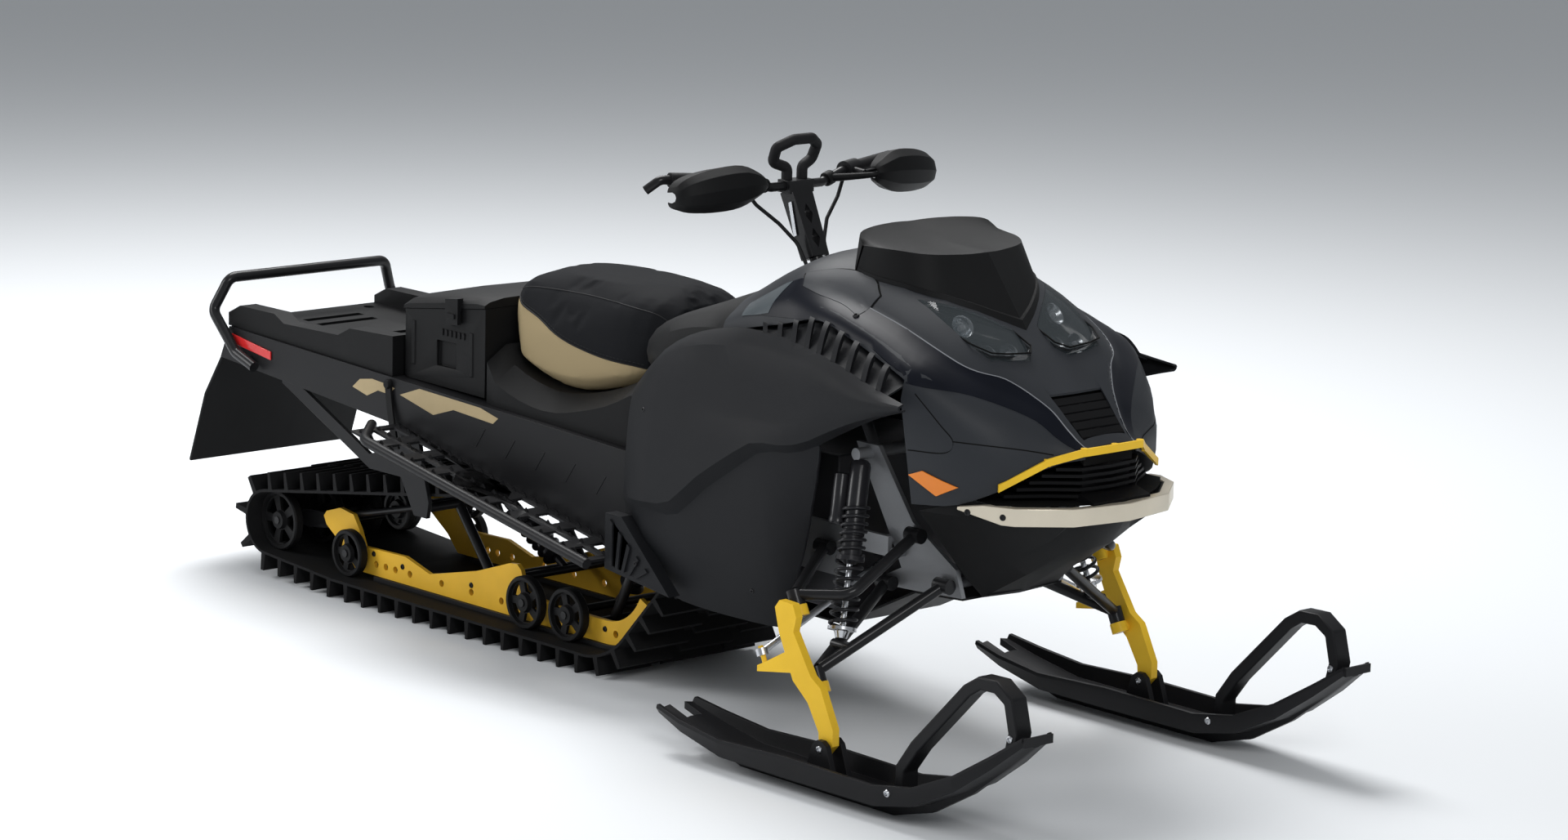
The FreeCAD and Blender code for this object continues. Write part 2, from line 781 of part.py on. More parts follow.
def make_brace(side):
    """The low bracket that carries the skid's rear pivot under the tunnel."""
    x, z = REAR_PIVOT
    outline = [(-1290, 556), (-1246, 556), (-920, 410), (-830, 440), (-800, 520), (-730, 520),
               (-700, 400), (x + 30, z + 20), (x + 22, z - 22), (x - 30, z - 22), (-790, 372),
               (-918, 372), (-1290, 536)]
    y = side * (tunnel_y - gauge - 6.3)
    return prism([(px, y - 6, pz) for px, pz in outline], (0, 12, 0))


group([made(make_brace(s), "brace") for s in (-1, 1)], "tunnel_braces")


def make_board(side):
    """Running board: a sloping perforated tread with a tube along its outer edge."""
    x0, z0 = size("board_front_x"), size("board_front_z")
    x1, z1 = size("board_rear_x"), size("board_rear_z")
    wall = size("board_thickness")
    inner = tunnel_y + 0.3
    outer = tunnel_y + size("board_width")
    tread = prism([(x0, inner, z0), (x1, inner, z1), (x1, inner, z1 + wall), (x0, inner, z0 + wall)],
                  (0, size("board_width") - 8, 0))
    slots = []
    for i in range(9):
        share = (i + 0.5) / 9
        x, z = x0 + (x1 - x0) * share, z0 + (z1 - z0) * share
        for y in (inner + 30, inner + 92):
            slots.append(Part.makeBox(62, 40, 60, Vec(x - 31, y, z - 30)))
    tread = tread.cut(Part.makeCompound(slots))
    teeth = []
    for i in range(22):
        share = (i + 0.5) / 22
        x, z = x0 + (x1 - x0) * share, z0 + (z1 - z0) * share + wall - 1
        for y in (inner + 14, inner + 76, outer - 24):
            teeth.append(prism([(x - 9, y, z), (x + 9, y, z), (x, y, z + 10)], (0, 4, 0)))
    tread = fused([tread] + teeth)
    edge = tube([(x0 + 10, outer, z0 + 2), (x1 + 60, outer, z1 - 9), (x1 - 30, outer - 95, z1 + 6)],
                size("edge_tube_radius"), 60)
    return flipped(fused([tread, edge]), side)


group([made(make_board(s), "board") for s in (-1, 1)], "running_boards")


def make_deck():
    """Cargo deck: a tray on the tunnel with raised sides and four anchor sockets."""
    deck = size("deck_thickness")
    front, rear = -832, -1530
    half = tunnel_y - 8
    base = prism([(front, -half, tunnel_top(front) + 0.3), (rear, -half, tunnel_top(rear) + 0.3),
                  (rear, -half, tunnel_top(rear) + 0.3 + deck),
                  (front, -half, tunnel_top(front) + 0.3 + deck)], (0, 2 * half, 0))
    parts = [base]
    for side in (-1, 1):
        y = side * (half - 26) - 26
        z = tunnel_top(rear) + deck
        hump = [(front, tunnel_top(front) + deck - 4), (front, z + 58), (-1010, z + 52), (-1060, z + 28),
                (-1290, z + 24), (-1330, z + 44), (-1480, z + 44), (rear, z + 20), (rear, z - 4)]
        parts.append(prism([(px, y, pz) for px, pz in hump], (0, 52, 0)))
    solid = fused(parts)
    slots = [prism([(x, -92, 500), (x + 26, -92, 500), (x + 26, 92, 500), (x, 92, 500)], (0, 0, 400))
             for x in (-1440, -1380, -1210, -1150)]
    return solid.cut(Part.makeCompound(slots)).cut(anchor_bores(size("anchor_radius")))


keep(made(make_deck(), "cargo_deck"), "cargo_deck")



def make_hoop():
    """Grab hoop of bent tube round the tail, with a boss on each side of the tunnel."""
    r = size("hoop_radius")
    out = tunnel_y + 5 + r
    half = [(-1380, out, 566), (-1460, out, 592), (-1562, out, 690), (-1540, out - 38, 776)]
    line = half + [(x, -y, z) for x, y, z in half[::-1]]
    bosses = [rod((-1420, s * (tunnel_y + 0.3), 579), (-1420, s * out, 579), 11) for s in (-1, 1)]
    return fused([tube(line, r, 30)] + bosses)


keep(made(make_hoop(), "rear_bumper"), "rear_bumper")


def make_flap():
    """Snow flap: a rubber sheet bolted to the tunnel's closing plate and bent back below it."""
    wall = size("flap_thickness")
    x, z = TUNNEL_TAIL
    slope = math.hypot(TUNNEL_TOP[-1][0] - x, TUNNEL_TOP[-1][1] - z)
    lean = (TUNNEL_TOP[-1][0] - x) / slope
    gap = 0.3 * slope / (TUNNEL_TOP[-1][1] - z)
    low, knee = 262, 452
    hang = math.radians(70)
    tip = -size("overall_length") / 2 + wall * math.sin(hang)
    line = [(x + 50 * lean - gap, z + 50 * (TUNNEL_TOP[-1][1] - z) / slope), (x - gap, z),
            (tip + (knee - low) / math.tan(hang), knee), (tip, low)]
    outline = thick(line, wall)
    sheet = prism([(px, -265, pz) for px, pz in outline], (0, 530, 0))
    (xa, za), (xb, zb) = line[2], line[3]
    run = math.dist(line[2], line[3])
    way = ((xb - xa) / run, (zb - za) / run)
    ribs = []
    for i in range(7):
        y = -225 + 75 * i
        a, b = (xa + way[0] * 14, za + way[1] * 14), (xb - way[0] * 40, zb - way[1] * 40)
        rib = [a, b, (b[0] + way[1] * 4, b[1] - way[0] * 4), (a[0] + way[1] * 4, a[1] - way[0] * 4)]
        ribs.append(prism([(px, y - 8, pz) for px, pz in rib], (0, 16, 0)))
    return fused([sheet] + ribs)


keep(made(make_flap(), "snow_flap"), "snow_flap")


def make_lamps():
    """Tail lamps: one on each rear corner of the deck's sides."""
    solids = []
    for side in (-1, 1):
        y = tunnel_y + 0.3 if side > 0 else -tunnel_y - 4.3
        outline = [(-1500, 636), (-1500, 612), (-1330, 590), (-1330, 612)]
        solids.append(prism([(x, y, z) for x, z in outline], (0, 4, 0)))
    return Part.makeCompound(solids)


keep(made(make_lamps(), "tail_lamps"), "tail_lamps")

# Storage box behind the seat, open at the top, with its lid on a hinge along its left side
BOX_SIDE = [(-818, 0), (-818, 176), (-520, 226), (-480, 226), (-480, 0)]


def box_outline(grow, top):
    """Side outline of the box at a distance inside its walls."""
    z0 = tunnel_top(-818) + 0.3
    return [(-818 + grow, z0 + grow), (-818 + grow, 796 + top), (-500 - grow, 838 + top),
            (-500 - grow, z0 - 8 + grow)]


def make_box():
    """The box's tub."""
    half = size("box_half_width")
    wall = size("box_wall")
    outer = prism([(x, -half, z) for x, z in box_outline(0, 0)], (0, 2 * half, 0))
    under = prism([(x, -half - 1, z) for x, z in
                   [(-900, tunnel_top(-900) - 60), (-900, tunnel_top(-900) + 0.3),
                    (-600, 612.3), (-400, tunnel_top(-400) + 0.3), (-400, 500)]], (0, 2 * half + 2, 0))
    inner = prism([(x, -half + wall, z) for x, z in box_outline(wall, 40)], (0, 2 * (half - wall), 0))
    tub = outer.cut(under).cut(inner)
    pads, pockets = [], []
    for s in (-1, 1):
        pads.append(Part.makeBox(96, 12, 84, Vec(-700, s * (half - 6) - 6, 660)))
        pockets.append(Part.makeBox(76, 16, 64, Vec(-690, s * (half - 2) - 8, 670)))
    for x in (-790, -560):
        for s in (-1, 1):
            pads.append(prism([(x, s * half - 3, 660), (x + 14, s * half - 3, 660),
                               (x + 14, s * half - 3, 770), (x, s * half - 3, 770)], (0, 6, 0)))
    bin_shape = fused([tub] + pads)
    return bin_shape.cut(Part.makeCompound(pockets))


keep(made(make_box(), "storage_box"), "storage_box")


def make_lid():
    """The lid: a crowned cover over the tub's rim, with the latch on its free side."""
    half = size("box_half_width") + 4
    stations = []
    for x, rise in ((-820, 15), (-800, 24), (-660, 28), (-530, 24), (-498, 15)):
        low = 796.3 + (838.6 - 796.3) * (x + 820) / 322
        stations.append((x, mirrored([(half, low), (half, low + rise * 0.5), (half - 16, low + rise),
                                      (half - 60, low + rise + 7), (0, low + rise + 10)])))
    cover = skin(stations)
    latch = prism([(-640, -half - 12, 846), (-590, -half - 12, 852), (-590, -half - 12, 786),
                   (-640, -half - 12, 780)], (0, 14, 0))
    keeper = Part.makeBox(30, 6, 12, Vec(-630, -half - 16, 800))
    neck = prism([(-640, -half + 0, 846), (-590, -half + 0, 852), (-590, -half + 0, 836),
                  (-640, -half + 0, 830)], (0, 6, 0))
    shave = Part.makeBox(80, 4.7, 50, Vec(-655, -half - 0.7, 770))
    return fused([cover, latch, keeper, neck]).cut(shave)


keep(made(make_lid(), "box_lid"), "box_lid")


def post_line(z):
    """Point of the steering post's axis at a height."""
    share = (z - 1065) / (1214 - 1065)
    return 434 - 73 * share, 0, z


# Seat, the tank cover under it and the console in front of it
SEAT = [
    (-486, [(118, 748), (150, 764), (158, 850), (132, 900), (66, 914), (0, 917)]),
    (-440, [(150, 704), (180, 728), (186, 848), (158, 912), (76, 928), (0, 931)]),
    (-250, [(150, 664), (194, 700), (200, 850), (164, 916), (78, 934), (0, 937)]),
    (-60, [(140, 700), (186, 730), (190, 852), (154, 915), (72, 932), (0, 936)]),
    (30, [(120, 734), (152, 756), (156, 856), (124, 908), (58, 926), (0, 930)]),
    (66, [(96, 752), (118, 774), (120, 862), (92, 896), (44, 910), (0, 913)]),
]
seat_rows = fair(SEAT, 46, 3, (1,))
seat = skin([(x, mirrored(half)) for x, half in seat_rows])
keep(made(seat, "seat"), "seat")

CONSOLE = [
    (67, [(150, 752), (196, 790), (196, 840), (140, 880), (0, 892)]),
    (150, [(200, 752), (248, 800), (240, 868), (160, 912), (0, 926)]),
    (300, [(225, 752), (268, 850), (262, 912), (170, 962), (0, 978)]),
    (433, [(240, 752), (278, 880), (274, 930), (180, 1006), (0, 1036)]),
]


def make_tank():
    """Tank and side covers below the seat, resting on the tunnel, with the console's raised part."""
    wide = tunnel_y - 22
    gap = 0.3
    stations = []
    for x, half in seat_rows:
        under = half[0][1] - gap
        low = tunnel_top(x) + gap
        side = wide - 10 * (1 if x < -470 else 0)
        stations.append((x, mirrored([(side, low), (side, under - 40), (side - 60, under), (0, under)])))
    last = stations[-1][0]
    for x in (120, 200):
        low = tunnel_top(x) + gap
        stations.append((x, mirrored([(wide - 6, low), (wide - 6, 712), (wide - 70, 753), (0, 753)])))
    base = skin(stations)
    console = skin([(x, mirrored(half)) for x, half in fair(CONSOLE, 45, 2, (0,))])
    boot = rod(post_line(700), post_line(1120), size("boot_radius"))
    return fused([base, console]).cut(boot)


# Body shells round the engine bay
WALL = size("body_wall")
tank = make_tank()
keep(made(tank, "tank_cover"), "tank_cover")


PANEL = spread([
    (128, [(262, 772), (290, 745), (306, 690), (314, 600), (320, 490), (312, 466), (306, 400), (296, 335)]),
    (224, [(282, 850), (314, 822), (334, 770), (350, 660), (368, 502), (352, 476), (338, 400), (304, 300)]),
    (345, [(294, 908), (332, 878), (350, 806), (366, 700), (388, 516), (360, 484), (344, 390), (300, 266)]),
    (470, [(312, 940), (350, 905), (366, 776), (384, 712), (398, 600), (368, 568), (350, 420), (296, 262)]),
    (590, [(332, 956), (368, 915), (380, 768), (394, 735), (406, 672), (376, 642), (352, 430), (290, 262)]),
    (690, [(346, 957), (382, 915), (392, 768), (402, 748), (412, 720), (384, 696), (350, 450), (276, 268)]),
    (780, [(362, 950), (394, 912), (402, 784), (408, 756), (412, 726), (382, 706), (340, 560), (262, 420)]),
    (860, [(384, 946), (410, 908), (414, 822), (414, 784), (410, 750), (376, 736), (330, 640), (262, 560)]),
])
WING = spread([
    (860, [(384, 946), (410, 908), (414, 822), (414, 784), (410, 750), (376, 736)]),
    (950, [(395, 930), (420, 896), (424, 852), (420, 820), (412, 792), (376, 782)]),
    (1060, [(408, 904), (430, 882), (434, 864), (430, 848), (420, 834), (392, 830)]),
    (1180, [(428, 886), (440, 882), (443, 877), (440, 871), (434, 867), (420, 868)]),
])
UPPER = spread([
    (436, [(292, 926), (284, 950), (255, 972), (226, 992), (168, 1014), (90, 1036), (0, 1042)]),
    (540, [(306, 950), (296, 985), (266, 1012), (232, 1040), (176, 1068), (92, 1088), (0, 1094)]),
    (669, [(314, 978), (296, 1030), (250, 1077), (222, 1096), (176, 1116), (92, 1130), (0, 1134)]),
    (790, [(322, 1006), (302, 1030), (258, 1056), (236, 1082), (190, 1114), (96, 1138), (0, 1144)]),
    (900, [(336, 986), (318, 1012), (266, 1036), (244, 1062), (196, 1096), (98, 1122), (0, 1128)]),
    (1005, [(347, 956), (328, 984), (268, 1010), (246, 1032), (198, 1060), (98, 1078), (0, 1082)]),
    (1110, [(358, 922), (336, 946), (258, 968), (232, 990), (184, 1010), (96, 1014), (0, 1010)]),
    (1200, [(322, 866), (290, 900), (225, 922), (196, 940), (150, 952), (80, 950), (0, 946)]),
    (1307, [(232, 800), (190, 835), (112, 856), (98, 862), (74, 864), (40, 865), (0, 865)]),
    (1360, [(132, 768), (116, 788), (88, 800), (76, 810), (58, 816), (30, 819), (0, 820)]),
    (1400, [(84, 772), (80, 777), (72, 780), (60, 782), (44, 784), (24, 785), (0, 786)]),
])
CHEEK = spread([
    (1110, [(326, 640), (344, 745), (368, 880)]),
    (1200, [(306, 648), (320, 730), (328, 806)]),
    (1307, [(240, 694), (248, 730), (246, 770)]),
    (1360, [(134, 746), (136, 752), (136, 759)]),
    (1400, [(84, 758), (85, 762), (85, 767)]),
])
COWL_JOINT = 1110
hood_rows = [(x, rounded(section(UPPER, x), 2, (2,))) for x in spaced(436, COWL_JOINT, 45)]
nose_rows = [(x, rounded(section(CHEEK, x) + section(UPPER, x), 2, (2, 3, 5)))
             for x in spaced(COWL_JOINT, 1400, 29)]


def make_hood_shell():
    """Hood: faired skins over the dash and the nose, joined at the lamps."""
    upper = skin([(x, mirrored(half)) for x, half in hood_rows], -WALL)
    nose = skin([(x, mirrored(half)) for x, half in nose_rows], -WALL)
    return fused([upper, nose])


hood_shell = make_hood_shell()
LAMP = [(982, 202), (1030, 156), (1080, 92), (1122, 38), (1180, 38), (1204, 62), (1200, 130),
        (1190, 170), (1148, 192), (1074, 200)]


def lamp_prism(side, inset):
    """A leaf-shaped column through the hood where a headlamp sits."""
    face = Part.Face(polygon([(x, y, 860) for x, y in LAMP]))
    if inset:
        face = face.makeOffset2D(-inset, 2)
    return flipped(face.extrude(Vec(0, 0, 300)), side)


GRILLE = [(1284, 82), (1380, 66)]
grille_hole = prism([(x, y, 790) for x, y in GRILLE] + [(x, -y, 790) for x, y in GRILLE[::-1]], (0, 0, 300))
boot_hole = rod(post_line(960), post_line(1120), size("boot_radius"))
hood = hood_shell.cut(Part.makeCompound([lamp_prism(-1, 0), lamp_prism(1, 0), grille_hole, boot_hole]))
keep(made(hood, "hood"), "hood")
lenses = [hood_shell.common(lamp_prism(s, 0.5)) for s in (-1, 1)]
keep(made(Part.makeCompound(lenses), "headlamps"), "headlamps")


DEFLECTOR = [
    (738, [(192, 1118), (190, 1176), (180, 1186), (104, 1194), (0, 1197)]),
    (850, [(214, 1096), (206, 1146), (194, 1162), (116, 1192), (0, 1201)]),
    (950, [(198, 1060), (184, 1108), (172, 1124), (110, 1164), (0, 1182)]),
    (1030, [(148, 1020), (134, 1062), (124, 1078), (82, 1116), (0, 1142)]),
    (1090, [(76, 985), (68, 1016), (60, 1030), (40, 1054), (0, 1076)]),
    (1134, [(24, 975), (20, 990), (16, 994), (9, 1000), (0, 1004)]),
]


def make_deflector():
    """Low wind deflector: a faired cowl that stands on the hood, with fins on its front edge."""
    body = skin([(x, mirrored(half)) for x, half in fair(DEFLECTOR, 40, 2, (2,))])
    gap = 0.3
    cover = skin([(x, mirrored([(y + gap if y else 0, z + gap) for y, z in half])) for x, half in hood_rows])
    front = skin([(x, mirrored([(y + gap if y else 0, z + gap) for y, z in half])) for x, half in nose_rows])
    bowl = skin([(x, mirrored([(w, 1110 + (x - 730) * 0.3), (w, 1300), (0, 1300)]))
                 for x, w in ((700, 150), (800, 132), (860, 90))])
    return body.cut(cover).cut(front).cut(bowl)


keep(made(make_deflector(), "windshield"), "windshield")


def make_gill(x, start, end):
    """One curved rib of the vent, from beside the hood's edge down to the panel's rim."""
    a, b = Vec(x, *start), Vec(x + 26, *end)
    low, high = [], []
    for i in range(7):
        t = i / 6
        spot = a + (b - a) * t
        arch = 20 * math.sin(math.pi * (0.15 + 0.75 * t))
        low.append(spot - Vec(0, 0, 4))
        high.append(spot + Vec(0, 0, arch))
    return prism([tuple(p) for p in low + high[::-1]], (15, 0, -3))


def make_panel(side):
    """Side panel: a faired skin with a diagonal ridge, a wing, a toe guard and a ribbed vent."""
    lower = skin(fair(PANEL, 50, 2, (4, 5)), WALL)
    arch = prism([(729, 0, 405), (862, 0, 735), (1000, 0, 735), (1000, 0, 200), (620, 0, 200)], (0, 700, 0))
    lower = lower.cut(arch)
    wing = skin(fair(WING, 50, 2, (4,)), WALL)
    gap = 0.3
    stations, covers = [], []
    for x in spaced(470, COWL_JOINT, 40):
        hood_y, hood_z = section(UPPER, x)[0]
        rim_y, rim_z = section(PANEL if x <= 860 else WING, x)[0]
        stations.append((x, [(hood_y - 10, hood_z - 8), (rim_y + 1, rim_z - 7)]))
    for x, half in hood_rows:
        inner = thick(half, -WALL)[-1]
        covers.append((x, mirrored([(inner[0], inner[1] - gap)] + [(y + gap if y else 0, z) for y, z in half])))
    vent = skin(stations, 4)
    ribs = []
    for x in spaced(600, 1050, 56):
        hood_y, hood_z = section(UPPER, x)[0]
        rim_y, rim_z = section(PANEL if x + 26 <= 860 else WING, x + 26)[0]
        ribs.append(make_gill(x, (hood_y + 6, hood_z - 2), (rim_y + 2, rim_z - 6)))
    vent = fused([vent] + ribs).cut(skin(covers))
    back = size("board_front_x") + 0.3
    toe = prism([(back, 332, 452), (176, 332, 452), (352, 332, 290), (back, 332, 318)], (0, 34, 0))
    ridges = [prism([(140 + 32 * i, 366, 440 - 24 * i), (150 + 32 * i, 366, 432 - 24 * i),
                     (150 + 22 * i, 366, 330 - 4 * i), (140 + 22 * i, 366, 330 - 4 * i)], (0, 5, 0))
              for i in range(5)]
    return flipped(fused([lower, wing, vent, toe] + ridges), side)


group([made(make_panel(s), "side_panel") for s in (-1, 1)], "side_panels")


BUMPER = [(1235, 308), (1360, 252), (1440, 150), (1466, 0)]
bumper_line = BUMPER + [(x, -y) for x, y in BUMPER[-2::-1]]
bumper_inner = thick(bumper_line, 22)[::-1][:3]


def make_front():
    """Belly pan: a bowl under the nose and a flat pan back to the tunnel."""
    gap = 0.3
    rims = [(x - gap, y - gap) for x, y in bumper_inner]
    lows = [((138, 505), (74, 466), (0, 460)), ((128, 570), (66, 542), (0, 538)),
            ((100, 640), (50, 630), (0, 628))]
    stations = [(1132, mirrored([(322, 628), (318, 622), (165, 450), (115, 403), (0, 398)])[::-1])]
    for (x, y), low in zip(rims, lows):
        stations.append((x, mirrored([(y, 660), (y, 626)] + list(low))[::-1]))
    return skin(stations, -WALL)


belly = make_front()
pan_line = thick([(345, 268), (720, 268), (960, 386.7), (1112, 396.7)], -WALL)
pan = prism([(x, -158, z) for x, z in pan_line], (0, 316, 0))
tongue_line = thick([(1100, 395.9), (1112, 396.7), (1150, 410)], -WALL)
tongue = prism([(x, -110, z) for x, z in tongue_line], (0, 220, 0))
keep(made(fused([belly, pan, tongue]), "belly_pan"), "belly_pan")


LIP = [(1301, 250, 690), (1352, 150, 744), (1404, 88, 768), (1412, 0, 770)]


def make_trim():
    """Bright flat band round the nose's lower lip, dropping at its ends."""
    line = LIP + [(x, -y, z) for x, y, z in LIP[-2::-1]]
    bands = []
    for (xa, ya, za), (xb, yb, zb) in zip(line, line[1:]):
        run = math.hypot(xb - xa, yb - ya)
        out = Vec(-(yb - ya) / run, (xb - xa) / run, 0)
        if out.x < 0:
            out = out * -1
        a, b = Vec(xa, ya, za), Vec(xb, yb, zb)
        face = [a, b, b + Vec(0, 0, 17), a + Vec(0, 0, 17)]
        bands.append(prism([tuple(p + out * 1.5) for p in face], tuple(out * 7)))
    joints = [Part.makeCylinder(8.5, 17, Vec(x, y, z)) for x, y, z in line[1:-1]]
    return fused(bands + joints).cut(skin(grown(nose_rows, 0.3)))


def make_bumper():
    """Front bumper: a deep bar bowed round the nose, drawn to a point at each end."""
    outline = thick(bumper_line, 22)
    bar = prism([(x, y, 622) for x, y in outline], (0, 0, 40))
    low = prism([(1200, -400, 600), (1200, -400, 648), (1228, -400, 648), (1330, -400, 622),
                 (1330, -400, 600)], (0, 800, 0))
    high = prism([(1200, -400, 680), (1200, -400, 652), (1228, -400, 652), (1290, -400, 662),
                  (1290, -400, 680)], (0, 800, 0))
    return bar.cut(low).cut(high)


keep(made(make_bumper(), "front_bumper"), "front_bumper")


def make_lower_grille():
    """Slatted grille between the trim and the bumper, with its foot on the bumper."""
    front = [(1290, 238), (1344, 150), (1394, 88), (1404, 0)]
    slats = []
    for i in range(5):
        z = 672 + 15 * i
        wide = 226 - 24 * i
        inside = [(x, y) for x, y in front if y < wide - 12]
        (xa, ya), (xb, yb) = front[-len(inside) - 1], inside[0]
        line = [(xa + (xb - xa) * (ya - wide) / (ya - yb), wide)] + inside
        line += [(x, -y) for x, y in line[-2::-1]]
        slats.append(prism([(x, y, z) for x, y in thick(line, 40)], (0, 0, 7)))
    spine = Part.makeBox(17, 150, 68, Vec(1370.5, -75, 669.5))
    foot = prism([(1352, -90, 662.3), (1440, -90, 662.3), (1440, -90, 668), (1400, -90, 680),
                  (1352, -90, 680)], (0, 180, 0))
    return fused(slats + [spine, foot])


# Front frame, engine and suspension
FRAME_FOOT = 392
FRAME_LEAN = 0.32
FRAME_Y = 158
RAIL_Y = 220
LOW_REAR_X = 886


def beside_frame(z, radius):
    """Place across the machine where a pivot of a radius sits against the leaning tower."""
    return FRAME_Y + (z - FRAME_FOOT) * FRAME_LEAN + (radius + 0.3) * math.hypot(1, FRAME_LEAN)


def make_frame():
    """Cast side towers and cradle rails joined by cross bars, with tubes up to the post's bearing."""
    outline = [(868, 736), (940, 736), (1000, 566), (1112, 470), (1112, 402), (960, 392), (872, 388),
               (872, 416), (928, 442), (922, 480)]
    wall = 12
    parts = []
    for side in (-1, 1):
        slanted = [(x, side * (FRAME_Y - wall + (z - FRAME_FOOT) * FRAME_LEAN), z) for x, z in outline]
        parts.append(prism(slanted, (0, side * wall, 0)))
        rail = [(350, 400), (350, 520), (930, 520), (930, 474), (836, 474), (775, 400)]
        parts.append(prism([(x, side * (RAIL_Y - wall), z) for x, z in rail], (0, side * wall, 0)))
        parts.append(rod((944, side * 160, 484), (944, side * (RAIL_Y - 4), 484), 12))
        parts.append(rod((912, side * 180, 508), (912, side * (RAIL_Y - 4), 508), 12))
    parts.append(rod((LOW_REAR_X, -155, 402), (LOW_REAR_X, 155, 402), 11))
    parts.append(rod((905, -304, 715), (905, 304, 715), 14))
    parts.append(rod((1080, -158, 430), (1080, 158, 430), 12))
    parts.append(rod((960, -155, 410), (960, 155, 410), 12))
    top = Vec(*post_line(900))
    for side in (-1, 1):
        parts.append(rod((905, side * 240, 715), (top.x + 24, side * 24, 905), 13))
    parts.append(Part.makeBox(10, 2 * tunnel_y, 162, Vec(TUNNEL_TOP[0][0] + 0.3, -tunnel_y, 398)))
    way = Vec(*post_line(930)) - Vec(*post_line(870))
    ring = Part.makeCylinder(38, 40, Vec(*post_line(885)), way)
    bore = Part.makeCylinder(size("post_radius") + 0.5, 200, Vec(*post_line(800)), way)
    return fused(parts + [ring]).cut(bore)


keep(made(make_frame(), "front_frame"), "front_frame")

engine = doc.addObject("Part::Box", "engine")
engine.Length = 350
engine.Width = 2 * (RAIL_Y - 12 - 0.3)
engine.Height = 360
at(engine, 400, -(RAIL_Y - 12 - 0.3), 315)
keep(engine, "engine")

KING_TOP = Vec(916, 0, 394)
KING_LOW = Vec(992, 0, 233)
king_way = (KING_TOP - KING_LOW).normalize()
king_y = size("kingpin_y")


def king(point, along, side):
    """A point on a kingpin axis, moved along it."""
    p = point + king_way * along
    return Vec(p.x, side * king_y, p.z)


BOSS_HEIGHT = 24
SHOCK_TOP = (905, 284, 715)
SHOCK_FOOT = (978, 405, 306)
EYE_HUB = 26


def make_arm(side, joint, legs, mount=None):
    """A wishbone: two tubes from the frame to an eye with its pin down the kingpin axis."""
    eye = size("eye_height")
    base = king(joint, size("joint_gap"), 1)
    parts = [Part.makeCylinder(18, eye, base, king_way)]
    pin = BOSS_HEIGHT + size("joint_gap")
    parts.append(Part.makeCylinder(size("kingpin_radius"), pin + eye, base - king_way * pin, king_way))
    hub = base + king_way * EYE_HUB
    for leg in legs:
        route = [hub] + [Vec(*p) for p in leg]
        start = hub + (route[1] - hub).normalize() * 12
        line = [tuple(start)] + leg
        if len(line) > 2:
            parts.append(tube(line, size("arm_tube_radius"), 40))
        else:
            parts.append(rod(line[0], line[1], size("arm_tube_radius")))
        q = route[-1]
        parts.append(rod(q + Vec(-22, 0, 0), q + Vec(22, 0, 0), 17))
    if mount:
        parts.append(mount)
    return flipped(fused(parts), side)


upper_legs = [[(1022, 418, 430), (1020, beside_frame(540, 17), 540)], [(740, RAIL_Y + 17.3, 466)]]
lower_legs = [[(1080, beside_frame(430, 17), 430)], [(LOW_REAR_X, beside_frame(402, 17), 402)]]
upper = [make_arm(s, KING_TOP, upper_legs) for s in (-1, 1)]
cross = rod((955, 405, 306), (1010, 405, 306), 11)
lower = [make_arm(s, KING_LOW, lower_legs, cross) for s in (-1, 1)]
group([made(a, "upper_arm") for a in upper] + [made(a, "lower_arm") for a in lower], "front_arms")


def make_front_shock(side):
    """Front coil-over with its piggyback reservoir."""
    body = coil_shock(SHOCK_TOP, SHOCK_FOOT, size("shock_radius"), size("spring_radius"),
                      size("spring_wire"), 9, (18.7, 13.7))
    return flipped(body, side)


group([made(make_front_shock(s), "front_shock") for s in (-1, 1)], "front_shocks")


# Spindles, skis and tie rods, each turning on its kingpin
ROD_OUT = Vec(846, 511, 258)
ROD_IN = Vec(851, 95, 470)


def make_spindle(side):
    """Forged spindle: two bosses on the kingpin, a leg to the ski and a steering arm."""
    wall = size("spindle_thickness")
    inner = king_y + 18 + 5
    leg = [(886, 392), (900, 410), (944, 408), (956, 380), (948, 346), (1008, 256), (1040, 236),
           (1084, 150), (1084, 112), (1062, 88), (1040, 104), (1038, 136), (1000, 196), (950, 236),
           (900, 340)]
    plate = prism([(x, inner, z) for x, z in leg], (0, wall, 0))
    parts = [plate]
    for point in (KING_TOP, KING_LOW):
        parts.append(Part.makeCylinder(size("boss_radius"), BOSS_HEIGHT, king(point, -BOSS_HEIGHT, 1),
                                       king_way))
        middle = king(point, -BOSS_HEIGHT / 2, 1)
        parts.append(rod(middle, middle + Vec(0, inner + 2 - king_y, 0), 11))
    arm = prism([(960, inner, 255), (832, inner, 234), (832, inner, 248), (860, inner, 262),
                 (930, inner, 300)], (0, wall, 0))
    parts.append(arm)
    parts.append(Part.makeCylinder(size("stud_radius"), 50, ROD_OUT - king_way * 14, king_way))
    solid = fused(parts)
    bore = Part.makeCylinder(size("kingpin_radius") + size("kingpin_clearance"), 500,
                             king(KING_LOW, -150, 1), king_way)
    bolt = rod((size("ski_pivot_x"), 400, size("ski_pivot_z")), (size("ski_pivot_x"), 600,
               size("ski_pivot_z")), size("ski_bolt_radius") + 0.3)
    return flipped(solid.cut(bore).cut(bolt), side)


